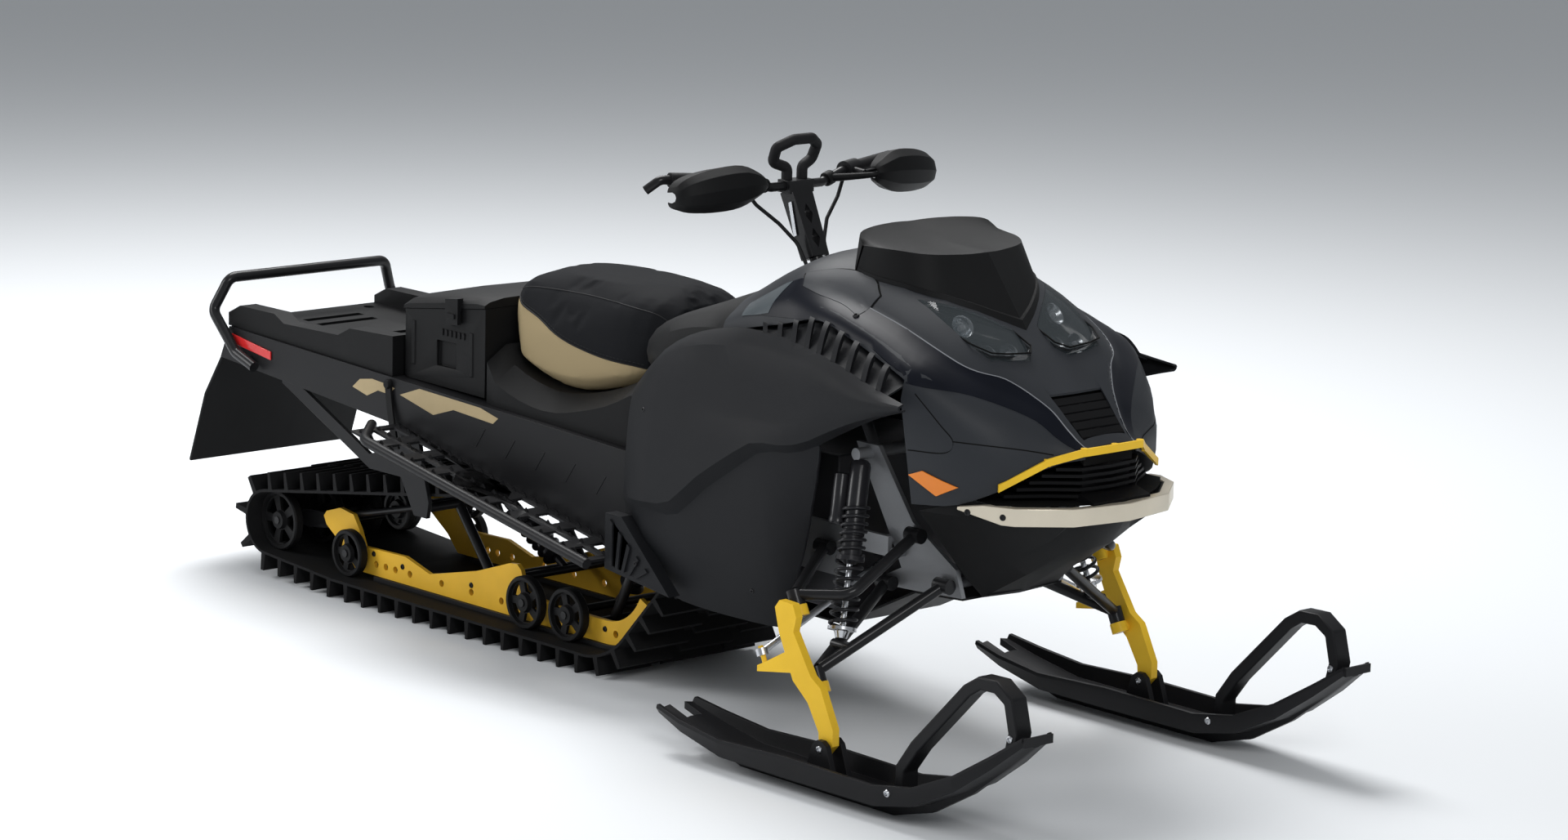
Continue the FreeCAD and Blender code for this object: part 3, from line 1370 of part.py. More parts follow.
def ski_section(half, low, high, keel):
    """Channel section of a ski: keel, sole, raised walls."""
    wall = size("ski_wall")
    line = [(half, high), (half - wall, high), (half - wall - 6, low + wall + 4), (12, low + wall + 10),
            (0, low + wall + 10)]
    inner = mirrored(line)
    outer = [(-half - 2, high - 8), (-half + 6, low + 4), (-14, low), (-7, low - keel), (7, low - keel),
             (14, low), (half - 6, low + 4), (half + 2, high - 8)]
    return inner + outer


def ski_handle():
    """Handle of flat bar that bridges the left ski's tip."""
    y = size("ski_stance") / 2
    front = size("overall_length") / 2
    line = [(-396, 50), (-396, 118), (-352, 176), (-196, 336), (-160, 360), (-112, 362), (-72, 334),
            (-56, 262), (-67, 210)]
    return prism([(front + x, y - 17, z) for x, z in thick(line, 13)], (0, 34, 0))


def make_ski(side):
    """Ski: a lofted channel, turned up at the tip and a little at the tail."""
    half = size("ski_half_width")
    y = size("ski_stance") / 2
    front = size("overall_length") / 2
    stations = []
    for back, wide, low, high, keel in ((1155, half - 16, 84, 108, 4), (1067, half - 6, 58, 92, 14),
                                        (927, half, 30, 76, 28), (707, half, 28, 84, 28),
                                        (427, half, 28, 80, 28), (307, half - 2, 52, 100, 20),
                                        (187, half - 8, 110, 152, 10), (87, half - 18, 180, 214, 4),
                                        (8, half - 34, 244, 268, 3)):
        x = front - back
        line = [(p[0] + y, p[1]) for p in ski_section(wide, low, high, keel)]
        stations.append((x, line))
    solid = skin(stations)
    nose = Part.makeBox(8, 2 * (half - 36), 20, Vec(front - 8, y - half + 36, 246))
    px, pz = size("ski_pivot_x"), size("ski_pivot_z")
    inner = king_y + 18 + 5
    wall = size("spindle_thickness")
    saddle = []
    for start, wide in ((inner - 5 - 14, 14), (inner + wall + 5, 14)):
        ear = [(px - 50, 36), (px + 50, 36), (px + 22, pz + 10), (px + 8, pz + 20), (px - 8, pz + 20),
               (px - 22, pz + 10)]
        saddle.append(prism([(x, start, z) for x, z in ear], (0, wide, 0)))
    bolt = rod((px, inner - 18, pz), (px, inner + wall + 18, pz), size("ski_bolt_radius"))
    tail = Part.makeBox(62, 44, 90, Vec(front - 1156, y - 22, 50))
    return flipped(fused([solid, nose, bolt, ski_handle()] + saddle).cut(tail), side)


def make_tie_rod(side):
    """Tie rod: an eye on the steering arm and a rod into the frame."""
    base = ROD_OUT + king_way * 14
    eye = Part.makeCylinder(14, 16, base, king_way)
    bar = rod(base + king_way * 8, ROD_IN, size("tie_rod_radius"))
    end = rod(ROD_IN - Vec(0, 0, 10), ROD_IN + Vec(0, 0, 10), 13)
    bore = Part.makeCylinder(size("stud_radius") + 0.3, 80, base - king_way * 30, king_way)
    return flipped(fused([eye, bar, end]).cut(bore), side)


for side, word in ((-1, "right"), (1, "left")):
    keep(made(make_spindle(side), "spindle_" + word), "spindle_" + word)
    keep(made(make_ski(side), "ski_" + word), "ski_" + word)
    keep(made(make_tie_rod(side), "tie_rod_" + word), "tie_rod_" + word)


# Steering: post and riser, bar with grips, guards, strap loop, controls and cables
def make_riser():
    """Post in its bearing and the tall riser that carries the bar."""
    post = rod(post_line(820), post_line(1080), size("post_radius"))
    x0, _, z0 = post_line(1070)
    x1, _, z1 = post_line(1222)
    riser = Part.makeLoft([
        polygon([(x0 - 22, -26, z0 - 10), (x0 + 18, -26, z0 + 8), (x0 + 18, 26, z0 + 8),
                 (x0 - 22, 26, z0 - 10)]),
        polygon([(x1 - 20, -32, z1 - 10), (x1 + 16, -32, z1 + 8), (x1 + 16, 32, z1 + 8),
                 (x1 - 20, 32, z1 - 10)]),
    ], True, True)
    bore = rod((356, -100, 1232), (356, 100, 1232), size("bar_radius") + 0.3)
    clamp = Part.makeBox(44, 76, 30, Vec(334, -38, 1216))
    holes = []
    for z in (1116, 1170):
        x = post_line(z)[0]
        diamond = [(0, -22), (13, 0), (0, 22), (-13, 0)]
        holes.append(prism([(x - 60, y, z + h) for y, h in diamond], (120, 0, 0)))
    return fused([post, riser, clamp]).cut(bore).cut(Part.makeCompound(holes))


keep(made(make_riser(), "riser"), "riser")

BAR = [(356, 0, 1232), (356, 80, 1232), (350, 150, 1252), (300, 372, 1266), (276, 396, 1240)]
bar_half = BAR[::-1][:-1]
bar_line = [(x, -y, z) for x, y, z in bar_half] + BAR[1:]
keep(made(tube(bar_line, size("bar_radius"), 22), "handlebar"), "handlebar")


GUARD = [
    (166, [(418, 1284), (444, 1276), (456, 1256), (448, 1234), (428, 1224)]),
    (215, [(392, 1314), (440, 1304), (465, 1262), (452, 1212), (418, 1196)]),
    (320, [(374, 1310), (424, 1299), (456, 1256), (442, 1202), (402, 1180)]),
    (400, [(350, 1284), (392, 1275), (422, 1244), (410, 1206), (372, 1190)]),
    (430, [(326, 1258), (350, 1255), (372, 1240), (364, 1222), (340, 1214)]),
]


def make_guard(side):
    """Hand guard: a folded shell round the front of the grip, on a stalk clamped to the bar."""
    across = [(y, [(-x, z) for x, z in line]) for y, line in GUARD]
    shell = skin(fair(across, 45, 1, ()), 5)
    shell.Placement = FreeCAD.Placement(Vec(0, 0, 0), FreeCAD.Rotation(Vec(0, 0, 1), 90))
    a, b = Vec(*BAR[1]), Vec(*BAR[2])
    way = (b - a).normalize()
    start, end = a + way * 22, a + way * 40
    clamp = rod(start, end, 17)
    stalk = rod(start + way * 9 + Vec(12, 0, 0), (462, 192, 1256), 7)
    bore = rod(start - way * 20, end + way * 20, size("bar_radius") + 0.3)
    return flipped(fused([shell, clamp, stalk]).cut(bore), side)


group([made(make_guard(s), "guard") for s in (-1, 1)], "hand_guards")

STRAP = [(350, 24, 1246.3), (350, 24, 1274), (341, 62, 1288), (356, 64, 1324), (376, 28, 1343)]
strap = tube([(x, -y, z) for x, y, z in STRAP] + STRAP[::-1], size("strap_radius"), 14)
keep(made(strap, "grab_loop"), "grab_loop")

def make_grip(side):
    """Rubber sleeve on the straight run of the bar."""
    a, b = Vec(*BAR[2]), Vec(*BAR[3])
    way = (b - a).normalize()
    start, end = a + way * 62, b - way * 24
    sleeve = rod(start, end, size("grip_radius"))
    bore = rod(start - way * 20, end + way * 20, size("bar_radius") + 0.3)
    return flipped(sleeve.cut(bore), side)


def cable_tube():
    """The left control cable, from its switch block down into the boot round the post."""
    line = [(346, 164, 1244), (362, 130, 1196), (384, 76, 1150), (412, 42, 1104), (436, 36, 1060),
            (452, 34, 1024)]
    return tube(line, size("cable_radius"), 40)


def make_control(side):
    """Switch block and lever on the bar inboard of the grip."""
    a, b = Vec(*BAR[2]), Vec(*BAR[3])
    way = (b - a).normalize()
    start, end = a + way * 12, a + way * 58
    block = rod(start, end, 22)
    lever = rod(start + way * 20 + Vec(18, 0, 0), start + way * 24 + Vec(52, 0, -4), 8)
    blade = rod(start + way * 24 + Vec(48, 0, -4), b + Vec(58, -40, -8), 6)
    bore = rod(start - way * 20, end + way * 20, size("bar_radius") + 0.3)
    return flipped(fused([block, lever, blade, cable_tube()]).cut(bore), side)


group([made(make_grip(s), "grip") for s in (-1, 1)], "grips")


group([made(make_control(s), "control") for s in (-1, 1)], "controls")

keep(made(make_trim(), "front_trim"), "front_trim")


def make_reflector(side):
    """Amber side reflector that follows the nose's side."""
    outline = [(1112, 708), (1150, 722), (1232, 694), (1180, 668)]
    column = prism([(x, 200, z) for x, z in outline], (0, 300, 0))
    plate = skin(grown(nose_rows, 4.3)).cut(skin(grown(nose_rows, 0.3)))
    return flipped(plate.common(column), side)


group([made(make_reflector(s), "reflector") for s in (-1, 1)], "reflectors")


def nose_height(x):
    """Height of the nose's ridge above the ground."""
    return section(UPPER, x)[-1][1]


def make_nose_grille():
    """Slats in the opening of the nose."""
    slats = []
    for i in range(5):
        x = 1290 + 18 * i
        z = nose_height(x) - 4
        (xa, wa), (xb, wb) = GRILLE
        half = wa + (wb - wa) * (x + 13 - xa) / (xb - xa) - 0.4
        slats.append(prism([(x, -half, z), (x + 13, -half, z - 12.3), (x + 13, -half, z - 17.3),
                            (x, -half, z - 5)], (0, 2 * half, 0)))
    ridge = spaced(1287, 1368, 20)
    line = [(x, nose_height(x) - 8) for x in ridge] + [(x, nose_height(x) - 26) for x in ridge[::-1]]
    spine = prism([(x, -6, z) for x, z in line], (0, 12, 0))
    return fused(slats + [spine])


group([made(make_nose_grille(), "nose_grille"), made(make_lower_grille(), "lower_grille")], "grilles")

# Check everything before writing
doc.recompute()
bad = [o.Name for o in doc.Objects if "Invalid" in o.State or "Error" in o.State]
if bad:
    raise RuntimeError("failed objects: " + ", ".join(bad))
for node in NODES:
    if node.Shape.isNull() or not node.Shape.isValid() or not node.Shape.Solids:
        raise RuntimeError("bad shape: " + node.Label)

os.makedirs("parts", exist_ok=True)
for node in NODES:
    node.Shape.exportStep("parts/" + node.Label + ".step")
    box = node.Shape.BoundBox
    print("%-18s %2d solids  x %7.1f %7.1f  y %7.1f %7.1f  z %7.1f %7.1f" % (
        node.Label, len(node.Shape.Solids), box.XMin, box.XMax, box.YMin, box.YMax, box.ZMin, box.ZMax))
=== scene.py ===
# %% [markdown]
# Wide-track utility snowmobile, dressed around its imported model.
# The model gives every rigid piece its place and size in metres, +X forward and +Z up.
# This file adds the finishes and the small pieces that a workshop drawing leaves out.

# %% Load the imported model
import json
import math

import bmesh
import bpy
from mathutils import Matrix, Vector
from mathutils.bvhtree import BVHTree


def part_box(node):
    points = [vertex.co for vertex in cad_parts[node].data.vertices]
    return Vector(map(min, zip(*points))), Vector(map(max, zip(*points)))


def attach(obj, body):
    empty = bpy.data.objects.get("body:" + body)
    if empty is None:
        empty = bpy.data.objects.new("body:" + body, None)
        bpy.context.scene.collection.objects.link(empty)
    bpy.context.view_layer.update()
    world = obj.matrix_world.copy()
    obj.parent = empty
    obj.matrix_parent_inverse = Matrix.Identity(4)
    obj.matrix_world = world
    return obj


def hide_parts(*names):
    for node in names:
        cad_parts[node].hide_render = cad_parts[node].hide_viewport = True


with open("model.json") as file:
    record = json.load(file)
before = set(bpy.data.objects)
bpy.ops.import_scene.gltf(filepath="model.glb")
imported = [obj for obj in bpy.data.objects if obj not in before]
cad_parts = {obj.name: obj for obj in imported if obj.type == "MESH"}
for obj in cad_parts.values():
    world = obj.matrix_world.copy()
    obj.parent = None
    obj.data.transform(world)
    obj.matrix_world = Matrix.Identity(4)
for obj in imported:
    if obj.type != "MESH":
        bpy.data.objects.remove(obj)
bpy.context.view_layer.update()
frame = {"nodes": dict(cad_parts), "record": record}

# %% [markdown]
# The camera stands in front of the machine's right side, a long way off with a long lens.
# Its place and direction come from matching points of the machine with the photograph.

# %% Camera
LENS_MM, SENSOR_MM = 109.22, 36
FAR_CLIP = 100
CAMERA_PLACE = Vector((8.4703, -7.4882, 2.8180))
YAW, PITCH, ROLL = math.radians(137.372), math.radians(-11.006), math.radians(1.401)


def make_camera():
    forward = Vector((math.cos(PITCH) * math.cos(YAW), math.cos(PITCH) * math.sin(YAW), math.sin(PITCH)))
    level = Vector((math.sin(YAW), -math.cos(YAW), 0))
    upright = level.cross(forward)
    right = level * math.cos(ROLL) + upright * math.sin(ROLL)
    up = upright * math.cos(ROLL) - level * math.sin(ROLL)
    data = bpy.data.cameras.new("camera")
    data.lens = LENS_MM
    data.sensor_width = SENSOR_MM
    data.clip_end = FAR_CLIP
    camera = bpy.data.objects.new("camera", data)
    turn = Matrix((right, up, -forward)).transposed().to_4x4()
    camera.matrix_world = Matrix.Translation(CAMERA_PLACE) @ turn
    bpy.context.scene.collection.objects.link(camera)
    bpy.context.scene.camera = camera
    return camera


camera = make_camera()
bpy.context.scene.view_settings.view_transform = "Standard"
print("camera at", tuple(camera.location))

# %% [markdown]
# A pale floor takes the machine's shadow, and a pale sky fills the shiny parts with light.
# The camera sees plain light grey behind the machine, and all else takes a dimmer sky's light.

# %% Floor and sky
SKY_LIGHT, SKY_STRENGTH = (0.80, 0.83, 0.86, 1), 0.37
SKY_SEEN = (0.86, 0.88, 0.90, 1)
FLOOR_SIZE, FLOOR_DROP = 60, 0.0005
FLOOR_COLOUR = (0.80, 0.82, 0.84, 1)


def node_tree(owner):
    owner.use_nodes = True
    tree = owner.node_tree
    tree.nodes.clear()
    return tree


def fill(node, **values):
    """Constant values on a node's sockets; an underscore stands for a space in a socket's name."""
    for socket, value in values.items():
        node.inputs[socket.replace("_", " ")].default_value = value


def add_node(tree, kind, **values):
    node = tree.nodes.new("ShaderNode" + kind)
    fill(node, **values)
    return node


def plain_material(name, **values):
    """A material of one principled shader with constant values."""
    material = bpy.data.materials.new(name)
    tree = node_tree(material)
    out = add_node(tree, "OutputMaterial")
    shade = add_node(tree, "BsdfPrincipled", **values)
    tree.links.new(shade.outputs[0], out.inputs["Surface"])
    return material


def make_sky():
    world = bpy.data.worlds.new("sky")
    bpy.context.scene.world = world
    tree = node_tree(world)
    out = add_node(tree, "OutputWorld")
    sky = add_node(tree, "Background", Color=SKY_LIGHT, Strength=SKY_STRENGTH)
    seen = add_node(tree, "Background", Color=SKY_SEEN, Strength=1.0)
    path = add_node(tree, "LightPath")
    mix = add_node(tree, "MixShader")
    tree.links.new(path.outputs["Is Camera Ray"], mix.inputs["Fac"])
    tree.links.new(sky.outputs[0], mix.inputs[1])
    tree.links.new(seen.outputs[0], mix.inputs[2])
    tree.links.new(mix.outputs[0], out.inputs["Surface"])


def make_floor():
    bpy.ops.mesh.primitive_plane_add(size=FLOOR_SIZE, location=(0, 0, -FLOOR_DROP))
    floor = bpy.context.object
    floor.name = "floor"
    floor.data.materials.append(plain_material("pale_floor", Base_Color=FLOOR_COLOUR, Roughness=0.9))


make_sky()
make_floor()


def soft_lamp(name, place, target, size, watts):
    data = bpy.data.lights.new(name, "AREA")
    data.shape = "RECTANGLE"
    data.size, data.size_y = size
    data.energy = watts
    lamp = bpy.data.objects.new(name, data)
    lamp.location = place
    lamp.rotation_euler = (Vector(target) - Vector(place)).to_track_quat("-Z", "Y").to_euler()
    bpy.context.scene.collection.objects.link(lamp)


soft_lamp("key", (-3.2, 1.6, 6.6), (0, 0, 0.5), (4.5, 4.5), 600)
soft_lamp("fill", (6.2, -3.4, 4.6), (0.6, 0, 0.6), (2.6, 2.2), 165)
soft_lamp("tail", (-5.0, -4.6, 3.4), (-0.5, 0, 0.5), (3, 3), 190)
print("floor, sky and three soft lamps")

# %% [markdown]
# Most of the machine is black, so its finishes differ in grain and gloss more than in colour.
# One helper makes nearly all: a base colour that wanders a little, a fine grain in the bump,
# and a roughness that changes in soft patches, all from the object's own coordinates.

# %% Finish helper
FINISHES = {}
PATCH_SCALE, PATCH_DETAIL = 9, 5
PATCH_GAIN, PATCH_LIFT = 1.35, 0.002
GRAIN_DETAIL, GRAIN_DEPTH = 3, 0.0006
COAT_ROUGHNESS = 0.12


def node_of(material, kind):
    return next(n for n in material.node_tree.nodes if n.type == kind)


def finish(name, colour, roughness=0.5, metal=0.0, grain=0.0, grain_size=0.002, patches=0.15,
           coat=0.0, shine=0.14):
    """Makes a finish and keeps it under its name."""
    shine = 0.5 if metal > 0.4 else shine
    material = plain_material(name, Metallic=metal, Specular_IOR_Level=shine, Coat_Weight=coat,
                              Coat_Roughness=COAT_ROUGHNESS)
    tree, links = material.node_tree, material.node_tree.links
    shade = node_of(material, "BSDF_PRINCIPLED")
    place = add_node(tree, "TexCoord")
    wide = add_node(tree, "TexNoise", Scale=PATCH_SCALE, Detail=PATCH_DETAIL)
    links.new(place.outputs["Object"], wide.inputs["Vector"])
    tint = add_node(tree, "Mix")
    tint.data_type = "RGBA"
    other = tuple(min(1, c * PATCH_GAIN + PATCH_LIFT) for c in colour)
    fill(tint, A=(*colour, 1), B=(*other, 1))
    links.new(wide.outputs["Fac"], tint.inputs["Factor"])
    links.new(tint.outputs["Result"], shade.inputs["Base Color"])
    spread = add_node(tree, "MapRange", To_Min=max(0.02, roughness - patches / 2),
                      To_Max=min(1, roughness + patches / 2))
    links.new(wide.outputs["Fac"], spread.inputs["Value"])
    links.new(spread.outputs["Result"], shade.inputs["Roughness"])
    if grain:
        fine = add_node(tree, "TexNoise", Scale=1 / grain_size, Detail=GRAIN_DETAIL)
        links.new(place.outputs["Object"], fine.inputs["Vector"])
        bump = add_node(tree, "Bump", Strength=grain, Distance=GRAIN_DEPTH)
        links.new(fine.outputs["Fac"], bump.inputs["Height"])
        links.new(bump.outputs["Normal"], shade.inputs["Normal"])
    FINISHES[name] = material
    return material


# %% Finishes of the machine
TAN = (0.37, 0.29, 0.165)
finish("track_rubber", (0.008, 0.008, 0.0085), 0.75, grain=0.5, grain_size=0.004)
finish("rail_yellow", (0.72, 0.42, 0.035), 0.38, grain=0.1)
finish("slide_plastic", (0.015, 0.015, 0.016), 0.5, grain=0.2)
finish("wheel_black", (0.008, 0.008, 0.0085), 0.5, grain=0.3)
finish("dark_steel", (0.010, 0.010, 0.011), 0.36, coat=0.2, grain=0.1)
finish("shock_steel", (0.014, 0.014, 0.016), 0.32, coat=0.2, grain=0.1)
finish("bare_steel", (0.50, 0.51, 0.53), 0.28, metal=1.0, grain=0.1)
finish("tunnel_black", (0.010, 0.010, 0.011), 0.40, grain=0.15)
finish("black_plastic", (0.0050, 0.0051, 0.0055), 0.55, grain=0.6, grain_size=0.0016)
finish("charcoal_plastic", (0.022, 0.0242, 0.0284), 0.50, grain=0.2, shine=0.20)
finish("tan_plastic", (0.40, 0.29, 0.16), 0.55, grain=0.3)
finish("flap_rubber", (0.0055, 0.0056, 0.006), 0.6, grain=0.4, grain_size=0.003)
finish("red_lens", (0.55, 0.02, 0.02), 0.2, coat=0.5)
finish("champagne_metal", (0.62, 0.56, 0.45), 0.33, metal=0.6, grain=0.1)
finish("cast_grey", (0.22, 0.225, 0.235), 0.42, metal=0.5, grain=0.6, grain_size=0.003)
finish("engine_metal", (0.05, 0.05, 0.055), 0.5, metal=0.5, grain=0.4)
finish("yellow_metal", (0.78, 0.47, 0.03), 0.35, grain=0.1)
finish("ski_plastic", (0.009, 0.009, 0.010), 0.42, grain=0.3)
finish("grip_rubber", (0.012, 0.012, 0.013), 0.6, grain=0.6)
finish("control_plastic", (0.012, 0.012, 0.013), 0.45, grain=0.3)
finish("amber_lens", (0.70, 0.20, 0.02), 0.2, coat=0.5)
finish("gloss_inlay", (0.0035, 0.0045, 0.0085), 0.36, patches=0.04, shine=0.12)
finish("smoked_sheet", (0.075, 0.088, 0.096), 0.22, coat=0.2)
finish("panel_black", (0.0095, 0.0100, 0.0115), 0.55, grain=0.3, shine=0.12)
# Grille slats: black plastic made darker and duller than the rest, as painted shade of their recess
finish("grille_black_painted_shade", (0.0035, 0.0035, 0.004), 0.5, grain=0.3, shine=0.10)
finish("bright_edge", (0.30, 0.31, 0.33), 0.25, metal=0.6, patches=0.05)
# Near-black and dull: painted shade, for the gaps, recesses and openings that it is laid over
finish("shadow_gap", (0.002, 0.002, 0.002), 0.8)
finish("mirror_metal", (0.62, 0.65, 0.68), 0.24, metal=1.0, patches=0.04)
finish("lamp_bowl", (0.020, 0.021, 0.023), 0.22, coat=0.4)
finish("lamp_projector", (0.45, 0.47, 0.50), 0.05, coat=1.0, patches=0.02)
finish("seat_piping", (0.010, 0.010, 0.011), 0.5, grain=0.5, grain_size=0.001)
finish("thread", (0.030, 0.030, 0.031), 0.7, grain=0.4, grain_size=0.0006)
finish("tan_foil", TAN, 0.42, grain=0.15)

# The lamps' clear covers: a thin grey film over what lies behind, with a glossy skin
FINISHES["lamp_lens"] = plain_material("lamp_lens", Base_Color=(0.055, 0.068, 0.075, 1), Roughness=0.06,
                                       Alpha=0.36, Coat_Weight=0.3)


def seat_band_cover(name, line, upper, lower):
    """Two covers sewn together: the lower one below a line that falls along the seat."""
    material = finish(name, upper, 0.72, grain=0.8, grain_size=0.0011, shine=0.07)
    tree, links = material.node_tree, material.node_tree.links
    tint = node_of(material, "MIX")
    split = add_node(tree, "SeparateXYZ")
    links.new(node_of(material, "TEX_COORD").outputs["Object"], split.inputs[0])
    share = add_node(tree, "MapRange", From_Min=line[0][0], From_Max=line[-1][0])
    links.new(split.outputs["X"], share.inputs["Value"])
    ramp = add_node(tree, "ValToRGB")
    band = ramp.color_ramp
    run = line[-1][0] - line[0][0]
    while len(band.elements) < len(line):
        band.elements.new(0.5)
    for element, (x, z) in zip(band.elements, line):
        element.position = (x - line[0][0]) / run
        element.color = (z, z, z, 1)
    links.new(share.outputs["Result"], ramp.inputs["Fac"])
    under = add_node(tree, "Math")
    under.operation = "LESS_THAN"
    links.new(split.outputs["Z"], under.inputs[0])
    links.new(ramp.outputs["Color"], under.inputs[1])
    pick = add_node(tree, "Mix")
    pick.data_type = "RGBA"
    fill(pick, B=(*lower, 1))
    links.new(tint.outputs["Result"], pick.inputs["A"])
    links.new(under.outputs[0], pick.inputs["Factor"])
    links.new(pick.outputs["Result"], node_of(material, "BSDF_PRINCIPLED").inputs["Base Color"])


BAND_TOP = [(-0.486, 0.874), (-0.422, 0.852), (-0.345, 0.833), (-0.245, 0.797), (-0.125, 0.773),
            (-0.030, 0.764), (0.012, 0.758), (0.034, 0.735), (0.070, 0.700)]
seat_band_cover("seat_cover", BAND_TOP, (0.0085, 0.009, 0.0105), TAN)
print(len(FINISHES), "finishes")

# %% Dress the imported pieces
for entry in frame["record"]["subparts"]:
    piece = frame["nodes"][entry["node"]]
    piece.data.materials.clear()
    piece.data.materials.append(FINISHES[entry["material_slot"]])

# %% [markdown]
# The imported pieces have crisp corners, as a drawing has. Real moulded and folded parts have
# small rounds that catch the light, so most pieces get a copy whose corners are bevelled and
# whose curved faces are shaded smooth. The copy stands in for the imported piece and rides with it.

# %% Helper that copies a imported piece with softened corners
RECORD = frame["record"]
BODY_OF = {n: body for body, nodes in RECORD["behaviour"]["bodies"].items() for n in nodes}
SLOT_OF = {entry["node"]: entry["material_slot"] for entry in RECORD["subparts"]}

SIDES = ((-1, "right"), (1, "left"))


def add_piece(name, mesh, body, slot, look=None):
    thing = bpy.data.objects.new(name, mesh)
    bpy.context.scene.collection.objects.link(thing)
    mesh.materials.clear()
    mesh.materials.append(look or FINISHES[slot])
    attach(thing, body)
    return thing


def mark_sharp(bm, angle):
    for face in bm.faces:
        face.smooth = True
    for edge in bm.edges:
        turn = edge.calc_face_angle(0) if len(edge.link_faces) == 2 else math.pi
        edge.smooth = turn < math.radians(angle)


# Pieces whose finish differs from their slot's, because the photograph shows them darker. The grilles'
# darker, duller finish is painted shade of the recess that they sit in.
OTHER_FINISH = {"tank_cover": "black_plastic", "grilles": "grille_black_painted_shade", "side_panels": "panel_black"}
SOFT_ANGLE, FLAT_ANGLE = 32, 0.6
WELD = 0.00003


def round_corners(thing, width, angle=30, segments=2):
    bevel = thing.modifiers.new("corner", "BEVEL")
    bevel.width = width
    bevel.segments = segments
    bevel.limit_method = "ANGLE"
    bevel.angle_limit = math.radians(angle)
    return bevel


def softened(node, corner=0):
    """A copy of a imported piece, shaded smooth and, where a width is given, with bevelled corners."""
    mesh = frame["nodes"][node].data.copy()
    bm = bmesh.new()
    bm.from_mesh(mesh)
    bmesh.ops.remove_doubles(bm, verts=bm.verts, dist=WELD)
    bmesh.ops.dissolve_limit(bm, angle_limit=math.radians(FLAT_ANGLE), verts=bm.verts, edges=bm.edges)
    mark_sharp(bm, SOFT_ANGLE)
    bm.to_mesh(mesh)
    bm.free()
    thing = add_piece(node + "_body", mesh, BODY_OF[node], OTHER_FINISH.get(node, SLOT_OF[node]))
    if corner:
        bevel = round_corners(thing, corner, SOFT_ANGLE)
        bevel.miter_outer = "MITER_ARC"
    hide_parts(node)


# %% [markdown]
# A round tube or a faired shell comes through as many flat facets. Shading them smooth is
# enough for tubes. Plates and mouldings also take a bevel, wider on castings than on sheet.

# %% Copies of the plates, mouldings and tubes
CORNERS = {
    "rails": 0.0012, "slide_shoes": 0.001, "idler_wheels": 0.001, "rear_wheels": 0.001, "skid_arms": 0.001,
    "drive_shaft": 0, "tunnel": 0.0015, "tunnel_braces": 0.0012, "running_boards": 0.0006,
    "cargo_deck": 0.003, "rear_bumper": 0, "snow_flap": 0.0015, "tail_lamps": 0.001, "storage_box": 0.003,
    "box_lid": 0.003, "tank_cover": 0.004, "belly_pan": 0.0015, "front_bumper": 0.004,
    "front_frame": 0.002, "engine": 0.004, "front_arms": 0.001, "spindle_right": 0.002,
    "spindle_left": 0.002, "ski_right": 0.0016, "ski_left": 0.0016, "tie_rod_right": 0,
    "tie_rod_left": 0, "riser": 0.0015, "handlebar": 0, "grab_loop": 0, "grips": 0, "controls": 0.0006,
    "front_trim": 0.0015, "reflectors": 0.0008, "grilles": 0.001, "hood": 0.0016, "side_panels": 0.0016,
}
for node, corner in CORNERS.items():
    softened(node, corner)
print(len(CORNERS), "softened pieces")

# %% [markdown]
# Thin things that lie on a curved shell, such as a glossy inlay or a seam, can't be flat plates.
# They are grids between two drawn lines, with each point moved onto the outside of the shell
# and lifted a little along its slope.

# %% Helper that lays a thin strip on a shell
SHELLS = {}
CURVE_STEPS = 16


def shell_of(*nodes):
    if nodes not in SHELLS:
        corners, faces = [], []
        for node in nodes:
            mesh = frame["nodes"][node].data
            first = len(corners)
            corners += [v.co.copy() for v in mesh.vertices]
            faces += [[first + i for i in face.vertices] for face in mesh.polygons]
        SHELLS[nodes] = BVHTree.FromPolygons(corners, faces)
    return SHELLS[nodes]


def along(line, count):
    """Evenly spaced points on a smooth curve through a line's points."""
    points = [Vector(p) for p in line]
    padded_line = [points[0] * 2 - points[1]] + points + [points[-1] * 2 - points[-2]]
    fine = []
    for a, b, c, d in zip(padded_line, padded_line[1:], padded_line[2:], padded_line[3:]):
        for k in range(CURVE_STEPS):
            t = k / CURVE_STEPS
            fine.append(0.5 * (2 * b + (c - a) * t + (2 * a - 5 * b + 4 * c - d) * t * t
                               + (3 * b - a - 3 * c + d) * t ** 3))
    fine.append(points[-1])
    reach = [0]
    for a, b in zip(fine, fine[1:]):
        reach.append(reach[-1] + (b - a).length)
    result, k = [], 0
    for i in range(count):
        want = reach[-1] * i / (count - 1)
        while k < len(reach) - 2 and reach[k + 1] < want:
            k += 1
        share = (want - reach[k]) / max(1e-9, reach[k + 1] - reach[k])
        result.append(fine[k].lerp(fine[k + 1], share))
    return result


# The body's long middle line, as its front end and its height, and how far rays start and reach
MIDDLE_END, MIDDLE_HEIGHT = 0.9, 0.72
RAY_START, RAY_REACH = 0.15, 0.12
STRIP_SINK = 0.0012


def outer_spot(shell, p):
    """The outermost spot of the body over a place, seen from its long middle line."""
    away = Vector((max(0.0, p.x - MIDDLE_END), p.y, p.z - MIDDLE_HEIGHT)).normalized()
    spot, normal, _, _ = shell.ray_cast(p + away * RAY_START, -away)
    if spot is None or (spot - p).length > RAY_REACH:
        spot, normal, _, _ = shell.find_nearest(p)
    return spot, normal if normal.dot(away) > 0 else -normal


